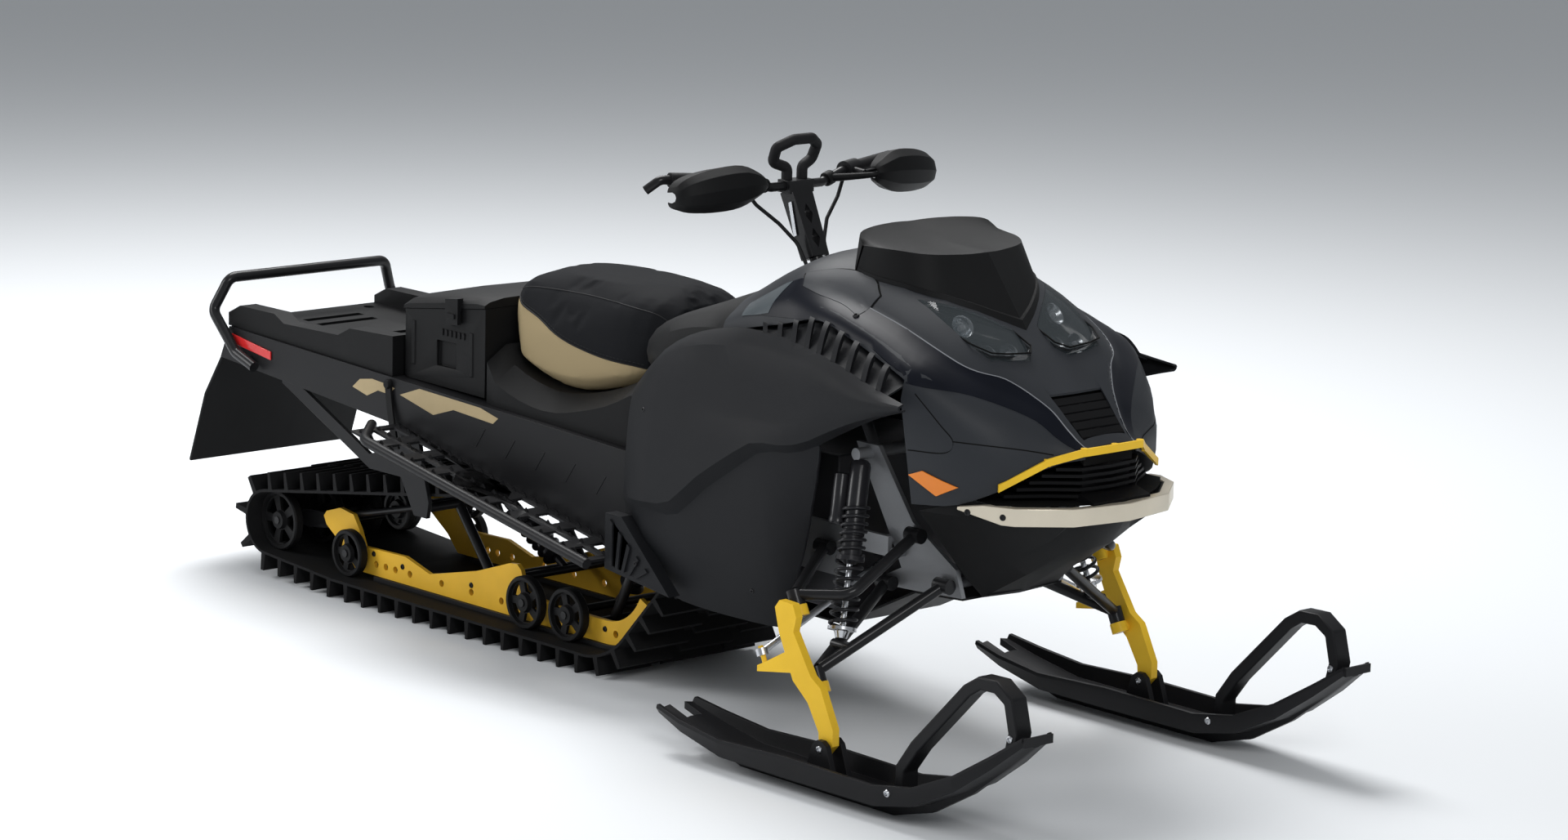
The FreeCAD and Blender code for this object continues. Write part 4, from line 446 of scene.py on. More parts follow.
def strip_mesh(rows):
    """A slab from rows of points: its face and, below it, its back."""
    bm = bmesh.new()
    tall, wide = len(rows), len(rows[0][0])
    top = [[bm.verts.new(p) for p in row[0]] for row in rows]
    low = [[bm.verts.new(p) for p in row[1]] for row in rows]
    for grid, turn in ((top, False), (low, True)):
        for a, b in zip(grid, grid[1:]):
            for i in range(wide - 1):
                ring = [a[i], a[i + 1], b[i + 1], b[i]]
                bm.faces.new(ring[::-1] if turn else ring)
    for i in range(wide - 1):
        bm.faces.new([top[0][i + 1], top[0][i], low[0][i], low[0][i + 1]])
        bm.faces.new([top[-1][i], top[-1][i + 1], low[-1][i + 1], low[-1][i]])
    for j in range(tall - 1):
        bm.faces.new([top[j][0], top[j + 1][0], low[j + 1][0], low[j][0]])
        bm.faces.new([top[j + 1][-1], top[j][-1], low[j][-1], low[j + 1][-1]])
    bmesh.ops.recalc_face_normals(bm, faces=bm.faces)
    mark_sharp(bm, 40)
    return bm


print("curve and strip helpers ready")

# %% [markdown]
# Most other pieces are rows of points joined by faces: a cord is a row of rings, and a tray or
# a cowl is a few rows that follow drawn lines. One helper joins the rows and the others use it.

# %% Helpers for sheets, cords and whole pieces
def sheet_mesh(rows, closed=False, caps="", sharp=0):
    """A mesh through rows of points. Closed rows are rings, and caps fills the last or both ends."""
    bm = bmesh.new()
    grid = [[bm.verts.new(p) for p in row] for row in rows]
    for a, b in zip(grid, grid[1:]):
        for k in range(len(a) if closed else len(a) - 1):
            m = (k + 1) % len(a)
            bm.faces.new([a[k], a[m], b[m], b[k]])
    if caps == "both":
        bm.faces.new(grid[0][::-1])
    if caps:
        bm.faces.new(grid[-1])
    bmesh.ops.recalc_face_normals(bm, faces=bm.faces)
    if sharp:
        mark_sharp(bm, sharp)
    return bm


def circle(parts):
    turns = [2 * math.pi * k / parts for k in range(parts)]
    return [(math.cos(turn), math.sin(turn)) for turn in turns]


def way_at(points, i):
    """The way that a line of points runs at one of them."""
    return (points[min(i + 1, len(points) - 1)] - points[max(i - 1, 0)]).normalized()


def swept(points, radius, parts=8):
    """A round cord through points, as mesh rings square to the way that it runs."""
    rings = []
    lean = Vector((0, 0, 1))
    for i, p in enumerate(points):
        way = way_at(points, i)
        lean = lean - way * lean.dot(way)
        lean = lean.normalized() if lean.length > 1e-6 else way.orthogonal().normalized()
        across = way.cross(lean)
        r = radius(i / (len(points) - 1)) if callable(radius) else radius
        rings.append([p + (lean * c + across * s) * r for c, s in circle(parts)])
    return sheet_mesh(rings, closed=True, caps="both", sharp=50)


def put(name, bm, node, slot, look=None):
    """A new piece of a mesh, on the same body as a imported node."""
    mesh = bpy.data.meshes.new(name)
    bm.to_mesh(mesh)
    bm.free()
    return add_piece(name, mesh, BODY_OF[node], slot, look)


def lay_strip(name, upper, lower, slot, lift=0.0012, count=40, across=6, side=-1):
    """A strip on the hood between two lines of its right side; side=1 lays its mirror image."""
    tops, lows = along(upper, count), along(lower, count)
    mirror = Vector((1, -side, 1))
    rows = []
    for j in range(across + 1):
        spots = [outer_spot(shell_of("hood"), a.lerp(b, j / across) * mirror) for a, b in zip(tops, lows)]
        face = [spot + outward * lift for spot, outward in spots]
        back = [spot - outward * STRIP_SINK for spot, outward in spots]
        rows.append((face, back))
    put(name, strip_mesh(rows), "hood", slot)


print("sheet, cord and piece helpers ready")

# %% [markdown]
# A glossy inlay, nearly black with some blue in it, runs along each side of the hood, from the
# bar down to the tip of the nose. A thin bright edge marks its upper side.

# %% Hood inlays and their bright edges
INLAY_TOP = [(0.505, -0.290, 1.022), (0.669, -0.250, 1.077), (0.800, -0.252, 1.055),
             (0.956, -0.250, 1.012), (1.127, -0.205, 0.922), (1.215, -0.150, 0.905),
             (1.300, -0.104, 0.862), (1.345, -0.084, 0.815), (1.392, -0.074, 0.780)]
INLAY_LOW = [(0.505, -0.310, 0.985), (0.600, -0.305, 0.985), (0.769, -0.325, 1.000),
             (0.950, -0.342, 0.968), (1.090, -0.330, 0.900), (1.200, -0.240, 0.880),
             (1.290, -0.150, 0.838), (1.345, -0.112, 0.795), (1.396, -0.088, 0.772)]
EDGE_OUT, EDGE_DOWN = 0.0025, 0.0008
EDGE_LOW = [(x, y - EDGE_OUT, z - EDGE_DOWN) for x, y, z in INLAY_TOP]
for side, word in SIDES:
    lay_strip("hood_inlay_" + word, INLAY_TOP, INLAY_LOW, "gloss_inlay", side=side, count=56)
    lay_strip("inlay_edge_" + word, INLAY_TOP[1:], EDGE_LOW[1:], "bright_edge", lift=0.002, side=side,
              count=56, across=1)
print("hood inlays laid")

# %% [markdown]
# The hood's flank is two mouldings. Where they meet there is a narrow gap, which runs down from
# the vents, round the corner of the lower moulding and along to the yellow trim.

# %% Gaps between the hood's mouldings
CHEEK_GAP = [(1.140, -0.353, 0.896), (1.195, -0.328, 0.833), (1.223, -0.314, 0.798),
             (1.206, -0.321, 0.771), (1.116, -0.347, 0.766)]
NOSE_GAP = [(1.223, -0.314, 0.798), (1.282, -0.267, 0.793), (1.325, -0.201, 0.783), (1.359, -0.138, 0.770)]
GAP_WIDTH = 0.003


# Each gap is a near-black strip laid on the hood: painted shade of the gap between the mouldings
def lay_gap(name, line, side):
    lower = [(x - 0.4 * GAP_WIDTH, y, z - 0.9 * GAP_WIDTH) for x, y, z in line]
    lay_strip(name, line, lower, "shadow_gap", lift=0.0006, side=side, count=40, across=1)


for side, word in SIDES:
    lay_gap("cheek_gap_" + word, CHEEK_GAP, side)
    lay_gap("nose_gap_" + word, NOSE_GAP, side)
print("gaps between the hood's mouldings")

# %% [markdown]
# Each flank of the hood has a cover over a service opening, with a shadow gap all round and a
# quarter-turn stud at its front corner. The gap is a dark strip with the cover laid inside it.

# %% Service covers
COVER_TOP = [(0.650, -0.236, 1.084), (0.743, -0.205, 1.103), (0.846, -0.205, 1.099),
             (0.905, -0.232, 1.060)]
COVER_LOW = [(0.676, -0.268, 1.060), (0.740, -0.280, 1.050), (0.820, -0.284, 1.038),
             (0.893, -0.290, 1.012)]


def shrunk(line, other, share):
    """A line moved a share of the way to another, and drawn in a little at its ends."""
    moved = [Vector(a).lerp(Vector(b), share) for a, b in zip(line, other)]
    moved[0] = moved[0].lerp(moved[1], share * 1.3)
    moved[-1] = moved[-1].lerp(moved[-2], share * 1.3)
    return [tuple(p) for p in moved]


for side, word in SIDES:
    # The gap strip is near-black: painted shade of the gap round the cover
    lay_strip("cover_gap_" + word, COVER_TOP, COVER_LOW, "shadow_gap", lift=0.0005, side=side,
              count=24)
    lay_strip("service_cover_" + word, shrunk(COVER_TOP, COVER_LOW, 0.05),
              shrunk(COVER_LOW, COVER_TOP, 0.05), "charcoal_plastic", lift=0.0022, side=side, count=24)
print("service covers laid")

# %% [markdown]
# A smoky sheet fills the rear end of each inlay, where the hood turns the wind off the knees.

# %% Smoky sheets
SHEET_TOP = [(0.500, -0.288, 1.020), (0.560, -0.272, 1.045), (0.632, -0.257, 1.068)]
SHEET_LOW = [(0.505, -0.312, 0.985), (0.560, -0.308, 0.988), (0.605, -0.303, 0.992)]
for side, word in SIDES:
    lay_strip("smoky_sheet_" + word, SHEET_TOP, SHEET_LOW, "smoked_sheet", lift=0.0022, side=side,
              count=20)
print("smoky sheets laid")

# %% [markdown]
# The windshield is a low moulded cowl: a crest at the back, a dished shelf, a crisp fold, and a
# steep front face that ends in a lip on the hood. Its creases make its look, so each row of
# points is one crease, and only the faces between two rows are shaded smooth.

# %% Windshield cowl
CREST = [(0.745, 0.000, 1.197), (0.750, 0.060, 1.199), (0.766, 0.140, 1.198), (0.788, 0.198, 1.191),
         (0.812, 0.2135, 1.170)]
FOLD = [(0.998, 0.000, 1.158), (0.984, 0.055, 1.156), (0.957, 0.145, 1.160), (0.900, 0.190, 1.166),
        (0.818, 0.2132, 1.168)]
FOOT = [(1.133, 0.000, 0.985), (1.090, 0.072, 1.010), (1.030, 0.140, 1.045), (0.960, 0.190, 1.075),
        (0.860, 0.212, 1.095), (0.785, 0.206, 1.105)]
BACK = [(0.739, 0.000, 1.138), (0.742, 0.060, 1.137), (0.752, 0.130, 1.126), (0.764, 0.185, 1.112),
        (0.780, 0.204, 1.104)]
COWL_COLUMNS = 26
FOOT_SINK, DISH_DEPTH = 0.005, 0.013
RIM_WIDTH, RIM_DROP = 0.012, 0.002
LIP_OUT = Vector((0.75, 0.30, 0.45)).normalized() * 0.0035


def cowl_rows():
    """Rows from the back edge to the foot, each a line from the left side to the right."""
    hood = shell_of("hood", "headlamps")
    crest, fold = along(CREST, COWL_COLUMNS), along(FOLD, COWL_COLUMNS)
    foot, back = along(FOOT, COWL_COLUMNS), along(BACK, COWL_COLUMNS)
    for line in (foot, back):
        for p in line:
            spot, _, _, _ = hood.ray_cast(Vector((p.x, p.y, 1.3)), Vector((0, 0, -1)))
            if spot is not None and abs(spot.z - p.z) < 0.05:
                p.z = spot.z - FOOT_SINK
    dish = [a.lerp(b, 0.5) - Vector((0, 0, DISH_DEPTH * (1 - (k / COWL_COLUMNS) ** 3)))
            for k, (a, b) in enumerate(zip(crest, fold))]
    rim = [a + (b - a).normalized() * min(RIM_WIDTH, (b - a).length * 0.3) - Vector((0, 0, RIM_DROP))
           for a, b in zip(crest, fold)]
    lip_in = [a.lerp(b, 0.80) for a, b in zip(fold, foot)]
    lip_out = [a.lerp(b, 0.83) + LIP_OUT for a, b in zip(fold, foot)]
    rows = (back, crest, rim, dish, fold, lip_in, lip_out, foot)
    return [[(p.x, -p.y, p.z) for p in row[:0:-1]] + [tuple(p) for p in row] for row in rows]


def thicken(thing, wall):
    solid = thing.modifiers.new("wall", "SOLIDIFY")
    solid.thickness = wall
    solid.offset = -1


cowl = put("windshield_cowl", sheet_mesh(cowl_rows(), sharp=22), "windshield", SLOT_OF["windshield"])
thicken(cowl, 0.003)
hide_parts("windshield")
print("windshield cowl of", len(cowl.data.polygons), "faces")

# %% [markdown]
# Behind both grilles stands a duct wall whose near-black finish is painted shade of the space behind the
# slats, so nothing bright shows between them.

# %% Duct wall behind the grilles
DUCT = [(1.190, 0.905, 0.110), (1.235, 0.838, 0.150), (1.300, 0.762, 0.180), (1.330, 0.735, 0.200),
        (1.330, 0.664, 0.255), (1.440, 0.6632, 0.262)]
DUCT_BEND = 0.10


def duct_row(x, z, half):
    """Points across the wall, which bends back towards its sides."""
    return [(x - DUCT_BEND * (k / 5) ** 2 * half / 0.2, half * k / 5, z) for k in range(-5, 6)]


duct = put("duct_wall", sheet_mesh([duct_row(*row) for row in DUCT]), "grilles", "shadow_gap")
thicken(duct, 0.002)


def pocket(outline, shell, rim, deep):
    """A dark tray under a shell: its rim follows an (x, y) outline just below the skin."""
    heights = [shell.ray_cast(Vector((x, y, 1.4)), Vector((0, 0, -1)))[0].z for x, y in outline]
    loops = [[(x, y, z - down) for (x, y), z in zip(outline, heights)] for down in (rim, deep)]
    return sheet_mesh(loops, closed=True, caps="last")


# The pocket behind the nose grille takes the near-black shadow_gap finish: painted shade of the recess
NOSE_OPENING = [(1.274, 0.094), (1.320, 0.087), (1.392, 0.076)]
ring = [(x, -y) for x, y in NOSE_OPENING] + NOSE_OPENING[::-1]
put("nose_pocket", pocket(ring, shell_of("hood"), 0.005, 0.042), "grilles", "shadow_gap")
print("duct wall and pocket behind the grilles")

# %% [markdown]
# Screws and studs are what tells the eye how large a machine is. One helper turns a little
# profile into a domed head with a socket, and sets it on a surface at a given slope.

# %% Screws on the hood, the bumper and the panels
def turned(profile, parts=20):
    """A mesh of a profile of (radius, height) points turned round Z."""
    bm = bmesh.new()
    rings = []
    for radius, height in profile:
        around = circle(parts) if radius > 1e-6 else [(0, 0)]
        rings.append([bm.verts.new((radius * c, radius * s, height)) for c, s in around])
    for a, b in zip(rings, rings[1:]):
        for k in range(parts):
            m = (k + 1) % parts
            ring = [a[k % len(a)], a[m % len(a)], b[m % len(b)], b[k % len(b)]]
            bm.faces.new(dict.fromkeys(ring))
    bmesh.ops.recalc_face_normals(bm, faces=bm.faces)
    mark_sharp(bm, 40)
    return bm


def stood(profile, parts, place, way):
    """A turned mesh that stands at a place, with its axis along a way."""
    one = turned(profile, parts)
    turn = Vector(way).to_track_quat("Z", "Y").to_matrix().to_4x4()
    one.transform(Matrix.Translation(Vector(place)) @ turn)
    return one


def joined(parts):
    """One mesh of several."""
    whole = bmesh.new()
    for one in parts:
        part = bpy.data.meshes.new("part")
        one.to_mesh(part)
        one.free()
        whole.from_mesh(part)
        bpy.data.meshes.remove(part)
    return whole


def screws(name, node, spots, size, slot):
    """Domed screws as one piece: each spot is a place and the way that it faces."""
    profile = [(0, -size * 0.6), (size, -size * 0.6), (size, 0), (size * 0.86, size * 0.30),
               (size * 0.5, size * 0.42), (size * 0.48, size * 0.1), (0, size * 0.1)]
    whole = joined(stood(profile, 16, place, way) for place, way in spots)
    mark_sharp(whole, 40)
    put(name, whole, node, slot)


def met(node, starts):
    """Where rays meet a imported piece, with the slope there. Each start is a place and a way."""
    found = [shell_of(node).ray_cast(Vector(place), Vector(way))[:2] for place, way in starts]
    return [(tuple(spot), tuple(normal)) for spot, normal in found if spot is not None]


def on_shell(node, place, lift=0.0):
    """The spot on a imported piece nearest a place, and its slope away from the machine."""
    spot, normal, _, _ = shell_of(node).find_nearest(Vector(place))
    if normal.dot(Vector(place) - spot) < 0:
        normal = -normal
    return tuple(spot + normal * lift), tuple(normal)


def both_sides(spots):
    return spots + [((p[0], -p[1], p[2]), (w[0], -w[1], w[2])) for p, w in spots]


# Each row of screws: its piece, their places on the right side, their lift and their size
SCREWS = {
    "cover_studs": ("hood", [(0.888, -0.300, 1.030)], 0.002, 0.008),
    "bumper_screws": ("front_bumper", [(1.272, -0.330, 0.643), (1.345, -0.290, 0.640)], 0, 0.0075),
    "panel_screws": ("side_panels", [(0.20, -0.40, 0.72), (0.235, -0.45, 0.350), (0.60, -0.45, 0.300)],
                     0, 0.006),
}
for name, (node, places, lift, size) in SCREWS.items():
    screws(name, node, both_sides([on_shell(node, p, lift) for p in places]), size, "dark_steel")
print("screws on the hood, the bumper and the panels")

# %% [markdown]
# A headlamp is a clear leaf over a dark bowl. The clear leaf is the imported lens. Behind it go a
# dark tray, set back from the lens, and three turned reflectors, each with a projector in it.

# %% Headlamps
LAMP_OUTLINE = [(0.982, -0.202), (1.030, -0.156), (1.080, -0.092), (1.122, -0.038), (1.180, -0.038),
                (1.204, -0.062), (1.200, -0.130), (1.190, -0.170), (1.148, -0.192), (1.074, -0.200)]
LAMP_MIDDLE = Vector((1.115, -0.130))
LAMP_INWARD = Vector((-0.35, 0.1, -0.93))
# Rings of the tray: how far out towards the lens outline, and how far behind the lens
TRAY_RINGS = ((0.985, 0.006), (0.93, 0.022), (0.80, 0.034), (0.40, 0.038))


def lamp_points(out, down, side):
    """The lens outline of one lamp, drawn in towards its middle and set back from the lens."""
    points = []
    for place in LAMP_OUTLINE:
        p = LAMP_MIDDLE.lerp(Vector(place), out)
        spot, _, _, _ = shell_of("headlamps").find_nearest(Vector((p.x, p.y, 1.0)))
        p = Vector((p.x, p.y, spot.z)) + LAMP_INWARD * down
        points.append(Vector((p.x, -side * p.y, p.z)))
    return points


# Each reflector's place on the left, turned to the other side for the right lamp, and its radius
REFLECTORS = [(1.070, 0.146, 1.012, 0.024), (1.146, 0.142, 0.958, 0.021), (1.150, 0.078, 0.956, 0.021)]
for side, word in SIDES:
    rim = lamp_points(1.0, 0.0, side)
    # A near-black cord round the lens: painted shade of the gap between lens and hood
    put("lamp_gap_" + word, swept(rim + rim[:2], 0.0022, 6), "headlamps", "shadow_gap")
    rings = [lamp_points(out, down, side) for out, down in TRAY_RINGS]
    put("lamp_tray_" + word, sheet_mesh(rings, closed=True, caps="last", sharp=60), "headlamps",
        "lamp_bowl")
    way = Vector((0.80, side * 0.18, 0.55)).normalized()
    for k, (x, y, z, size) in enumerate(REFLECTORS):
        bowl = [(0.003, -size * 0.62), (size * 0.55, -size * 0.50), (size * 0.86, -size * 0.22),
                (size, 0.002), (size * 1.12, 0.004), (size * 1.14, -0.004), (size * 0.9, -size * 0.4),
                (0.004, -size * 0.72)]
        drop = [(0, size * 0.10), (size * 0.26, size * 0.02), (size * 0.34, -size * 0.20),
                (size * 0.30, -size * 0.5), (0, -size * 0.52)]
        label, place = "_%s_%d" % (word, k), (x, side * y, z)
        put("reflector_bowl" + label, stood(bowl, 36, place, way), "headlamps", "mirror_metal")
        put("projector" + label, stood(drop, 28, place, way), "headlamps", "lamp_projector")
softened("headlamps")
print("headlamps with trays, reflectors and projectors")

# %% [markdown]
# The seat is foam under a stretched cover, so its sides swell a little between its edges. The
# drawn solid is remeshed into an even net and blown up gently as cloth, held along its base.
# How far a point may move is capped, because the foam keeps the real cover from ballooning.

# %% Seat shape by cloth
SEAT_SWELL = 0.011
SEAT_MIDDLE, SEAT_DRAWN_IN = Vector((-0.21, 0, 0.80)), (0.985, 0.965, 0.975)
SEAT_NET = 0.0085
HELD_HEIGHT = 0.022
CLOTH_FRAMES = 20
CLOTH = {"quality": 6, "mass": 0.35, "tension_stiffness": 22, "compression_stiffness": 22,
         "bending_stiffness": 4, "use_pressure": True, "uniform_pressure_force": 4}


def seat_start():
    mesh = frame["nodes"]["seat"].data.copy()
    seat = add_piece("seat_cover", mesh, BODY_OF["seat"], "seat_cover")
    for v in mesh.vertices:
        away = v.co - SEAT_MIDDLE
        v.co = SEAT_MIDDLE + Vector([a * share for a, share in zip(away, SEAT_DRAWN_IN)])
    remesh = seat.modifiers.new("net", "REMESH")
    remesh.mode = "VOXEL"
    remesh.voxel_size = SEAT_NET
    remesh.use_smooth_shade = True
    apply_all(seat)
    return seat


def apply_all(thing):
    depsgraph = bpy.context.evaluated_depsgraph_get()
    fresh = bpy.data.meshes.new_from_object(thing.evaluated_get(depsgraph))
    old = thing.data
    thing.modifiers.clear()
    thing.data = fresh
    bpy.data.meshes.remove(old)


def swell(seat):
    start = [v.co.copy() for v in seat.data.vertices]
    held = seat.vertex_groups.new(name="held")
    for v in seat.data.vertices:
        low = seat_low(v.co.x) + HELD_HEIGHT
        held.add([v.index], 1.0 if v.co.z < low else 0.0, "REPLACE")
    cloth = seat.modifiers.new("cloth", "CLOTH")
    for setting, value in CLOTH.items():
        setattr(cloth.settings, setting, value)
    cloth.settings.vertex_group_mass = "held"
    cloth.settings.effector_weights.gravity = 0
    cloth.point_cache.frame_start = 1
    cloth.point_cache.frame_end = CLOTH_FRAMES
    for number in range(1, CLOTH_FRAMES + 1):
        bpy.context.scene.frame_set(number)
    apply_all(seat)
    bpy.context.scene.frame_set(1)
    for v, before in zip(seat.data.vertices, start):
        move = v.co - before
        if move.length > SEAT_SWELL:
            v.co = before + move.normalized() * SEAT_SWELL


def seat_low(x):
    """Height of the seat's lower edge along the machine."""
    places = [(-0.486, 0.748), (-0.440, 0.704), (-0.250, 0.664), (-0.060, 0.700), (0.030, 0.734),
              (0.066, 0.752)]
    for (xa, za), (xb, zb) in zip(places, places[1:]):
        if x <= xb:
            return za + (zb - za) * max(0.0, (x - xa) / (xb - xa))
    return places[-1][1]


seat = seat_start()
swell(seat)
finer = seat.modifiers.new("finer", "SUBSURF")
finer.levels = 1
apply_all(seat)
for polygon in seat.data.polygons:
    polygon.use_smooth = True
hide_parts("seat")
print("seat of", len(seat.data.polygons), "faces")

# %% [markdown]
# The cover is black with a tan wedge low on each flank. Where two panels meet there is a sewn
# seam: a shallow cord with a row of stitches beside it. The colour change is drawn in the
# material, and the cord hides its edge.

# %% Seat seams
def tree_of(thing):
    corners = [v.co.copy() for v in thing.data.vertices]
    return BVHTree.FromPolygons(corners, [list(f.vertices) for f in thing.data.polygons])


seat_tree = tree_of(seat)


def on_seat(x, side, z, lift=0.0):
    """The spot on the seat's flank at a place along it and a height."""
    hit, normal, _, _ = seat_tree.ray_cast(Vector((x, side * 0.4, z)), Vector((0, -side, 0)))
    if hit is None:
        hit, normal, _, _ = seat_tree.find_nearest(Vector((x, side * 0.19, z)))
    return hit + normal * lift


def seam_line(line, side, count, lift):
    places = along([(x, 0, z) for x, z in line], count)
    spots = [on_seat(p.x, side, p.z, lift) for p in places]
    for _ in range(3):
        inner = [(a + b * 2 + c) / 4 for a, b, c in zip(spots, spots[1:], spots[2:])]
        spots = [spots[0]] + inner + [spots[-1]]
    return spots


STITCH_POINTS, STITCH_LIFT, STITCH_RADIUS = 96, 0.0004, 0.0006


def stitches(line, side, drop):
    """Short rounded stitches beside a seam."""
    places = along([(x, 0, z + drop) for x, z in line], STITCH_POINTS)
    proud = Vector((0, side * STITCH_LIFT, 0))
    cords = []
    for a, b in zip(places[1:-1:2], places[2:-1:2]):
        start, end = (on_seat(p.x, side, p.z, STITCH_LIFT) for p in (a, b))
        stitch = [start, start.lerp(end, 0.2) + proud, start.lerp(end, 0.8) + proud, end]
        cords.append(swept(stitch, STITCH_RADIUS, 6))
    return joined(cords)


def sew(name, bm, look):
    put(name, bm, "seat", "seat_cover", FINISHES[look])


CROWN_SEAM = [(-0.470, 0.886), (-0.400, 0.900), (-0.250, 0.905), (-0.100, 0.903), (0.010, 0.892),
              (0.050, 0.872)]
for side, word in SIDES:
    sew("seat_seam_" + word, swept(seam_line(BAND_TOP[:7], side, 90, 0.0002), 0.0022), "seat_piping")
    sew("seat_stitches_" + word, stitches(BAND_TOP[:7], side, 0.008), "thread")
for side, word in SIDES:
    sew("crown_seam_" + word, swept(seam_line(CROWN_SEAM, side, 80, 0.0), 0.0016), "seat_piping")
print("seat seams and stitches")

# %% [markdown]
# A hand guard is a moulded shell, folded along two lines, that stands in front of the grip. The
# packed one is a rough shell, so this one is drawn again from cross sections along the bar.

# %% Hand guards
# Each station's place along the bar, its front edge, its depth, its middle height and half height
GUARD_STATIONS = [
    (0.176, 0.452, 0.030, 1.256, 0.016), (0.196, 0.462, 0.052, 1.257, 0.030),
    (0.240, 0.465, 0.074, 1.256, 0.049), (0.300, 0.459, 0.080, 1.252, 0.052),
    (0.350, 0.446, 0.078, 1.247, 0.047), (0.385, 0.430, 0.066, 1.242, 0.038),
    (0.402, 0.414, 0.050, 1.238, 0.026), (0.408, 0.400, 0.034, 1.237, 0.016),
]
GUARD_WALL, THINNEST = 0.004, 0.02
STALK = [(0.352, 0.100, 1.240), (0.385, 0.125, 1.244), (0.425, 0.160, 1.250), (0.452, 0.196, 1.255)]
STALK_RADIUS, STALK_TAPER = 0.010, 0.004
COLLAR = [(0.0165, -0.011), (0.0172, -0.009), (0.0172, 0.009), (0.0165, 0.011), (0.0115, 0.011),
          (0.0115, -0.011), (0.0165, -0.011)]
BUTTON = [(0, -0.004), (0.010, -0.004), (0.010, 0.006), (0.0085, 0.009), (0, 0.0095)]


def guard_section(front, deep, middle, half):
    """Outer line of the shell from its upper rear edge, round the front, to its lower rear edge."""
    shares = ((1, 0.80), (0.42, 1), (0.12, 0.72), (0, 0.10), (0.10, -0.55), (0.46, -1), (0.92, -0.95))
    return [(front - deep * back, middle + half * up) for back, up in shares]


def guard_mesh(side):
    rows = []
    for y, front, deep, middle, half in GUARD_STATIONS:
        outer = guard_section(front, deep, middle, half)
        rear = front - deep
        along_x, along_z = 1 - GUARD_WALL / max(THINNEST, deep), 1 - GUARD_WALL / half
        inner = [(rear + (x - rear) * along_x, middle + (z - middle) * along_z) for x, z in outer]
        rows.append([(x, side * y, z) for x, z in outer + inner[::-1]])
    bm = sheet_mesh(rows, closed=True, caps="both")
    lengthwise = [e for e in bm.edges if abs(e.verts[0].co.y - e.verts[1].co.y) > 0.004]
    bmesh.ops.subdivide_edges(bm, edges=lengthwise, cuts=2, smooth=0.6)
    mark_sharp(bm, 24)
    return bm


def stalk_radius(share):
    return STALK_RADIUS - STALK_TAPER * share


for side, word in SIDES:
    guard = put("hand_guard_" + word, guard_mesh(side), "hand_guards", "black_plastic")
    round_corners(guard, 0.002, 24)
    if side < 0:
        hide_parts("hand_guards")
    stalk = [(x, side * y, z) for x, y, z in STALK]
    put("guard_stalk_" + word, swept(along(stalk, 14), stalk_radius, 12), "hand_guards", "black_plastic")
    ring = stood(COLLAR, 28, (0.3545, side * 0.105, 1.2395), (-0.085, side * 0.95, 0.27))
    put("guard_collar_" + word, ring, "hand_guards", "black_plastic")
red = stood(BUTTON, 24, (0.372, -0.246, 1.283), (0.1, -0.1, 1))
put("stop_button", red, "controls", "red_lens")
print("hand guards, stalks and the stop button")

# %% [markdown]
# Each front shock has a thin rod with a long open spring round it, and above that a black body
# with a second, closer spring and a bottle for its oil beside it. A spring is one round wire
# that runs along a helix.

# %% Springs and shocks
HELIX_STEPS = 22


def helix(start, end, radius, turns):
    """Points of a spring's wire between two places."""
    axis = end - start
    way = axis.normalized()
    side = way.orthogonal().normalized()
    across = way.cross(side)
    points = []
    count = int(turns * HELIX_STEPS)
    for i in range(count + 1):
        angle = 2 * math.pi * turns * i / count
        out = side * math.cos(angle) + across * math.sin(angle)
        points.append(start + axis * i / count + out * radius)
    return points


def put_between(name, start, end, profile, slot):
    """A turned piece of a shock; its profile gives (radius, share of the way from start to end)."""
    run = (end - start).length
    one = stood([(r, t * run) for r, t in profile], 28, start, end - start)
    return put(name, one, "front_shocks", slot)


SHOCK_TOP, SHOCK_FOOT = Vector((0.905, 0.284, 0.715)), Vector((0.978, 0.405, 0.306))
CAN = [(0, 0.035), (0.014, 0.035), (0.021, 0.05), (0.0235, 0.07), (0.0235, 0.40), (0.0260, 0.405),
       (0.0260, 0.43), (0.0235, 0.435), (0.0235, 0.535), (0.0325, 0.54), (0.0325, 0.562), (0.020, 0.566),
       (0.012, 0.58), (0, 0.58)]
ROD = [(0, 0.56), (0.0068, 0.56), (0.0068, 0.90), (0.013, 0.905), (0.0325, 0.908), (0.0325, 0.925),
       (0.018, 0.93), (0.013, 0.965), (0, 0.965)]
BOTTLE = [(0, 0.10), (0.012, 0.102), (0.0175, 0.11), (0.0175, 0.33), (0.0190, 0.335), (0.0190, 0.36),
          (0.012, 0.37), (0, 0.37)]
# Each spring's name, its ends as shares of the shock, its radius, its turns and its wire
SPRINGS = (("long_spring_", 0.568, 0.900, 0.0290, 6.2, 0.0044),
           ("short_spring_", 0.26, 0.53, 0.0285, 6.5, 0.0040))
for side, word in SIDES:
    flip = Vector((1, side, 1))
    top, foot = SHOCK_TOP * flip, SHOCK_FOOT * flip
    shock = put_between("shock_body_" + word, top, foot, CAN, "shock_steel")
    put_between("shock_rod_" + word, top, foot, ROD, "bare_steel")
    for name, first, last, radius, turns, wire in SPRINGS:
        line = helix(top.lerp(foot, first), top.lerp(foot, last), radius, turns)
        put(name + word, swept(line, wire, 10), "front_shocks", "shock_steel")
    shift = Vector((-0.034, side * 0.022, -0.004))
    put_between("oil_bottle_" + word, top + shift, foot + shift, BOTTLE, "shock_steel")
    if side < 0:
        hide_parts("front_shocks")
print("front shocks")

# %% [markdown]
# The two shocks inside the track are hardly seen, but their springs show between the wheels.

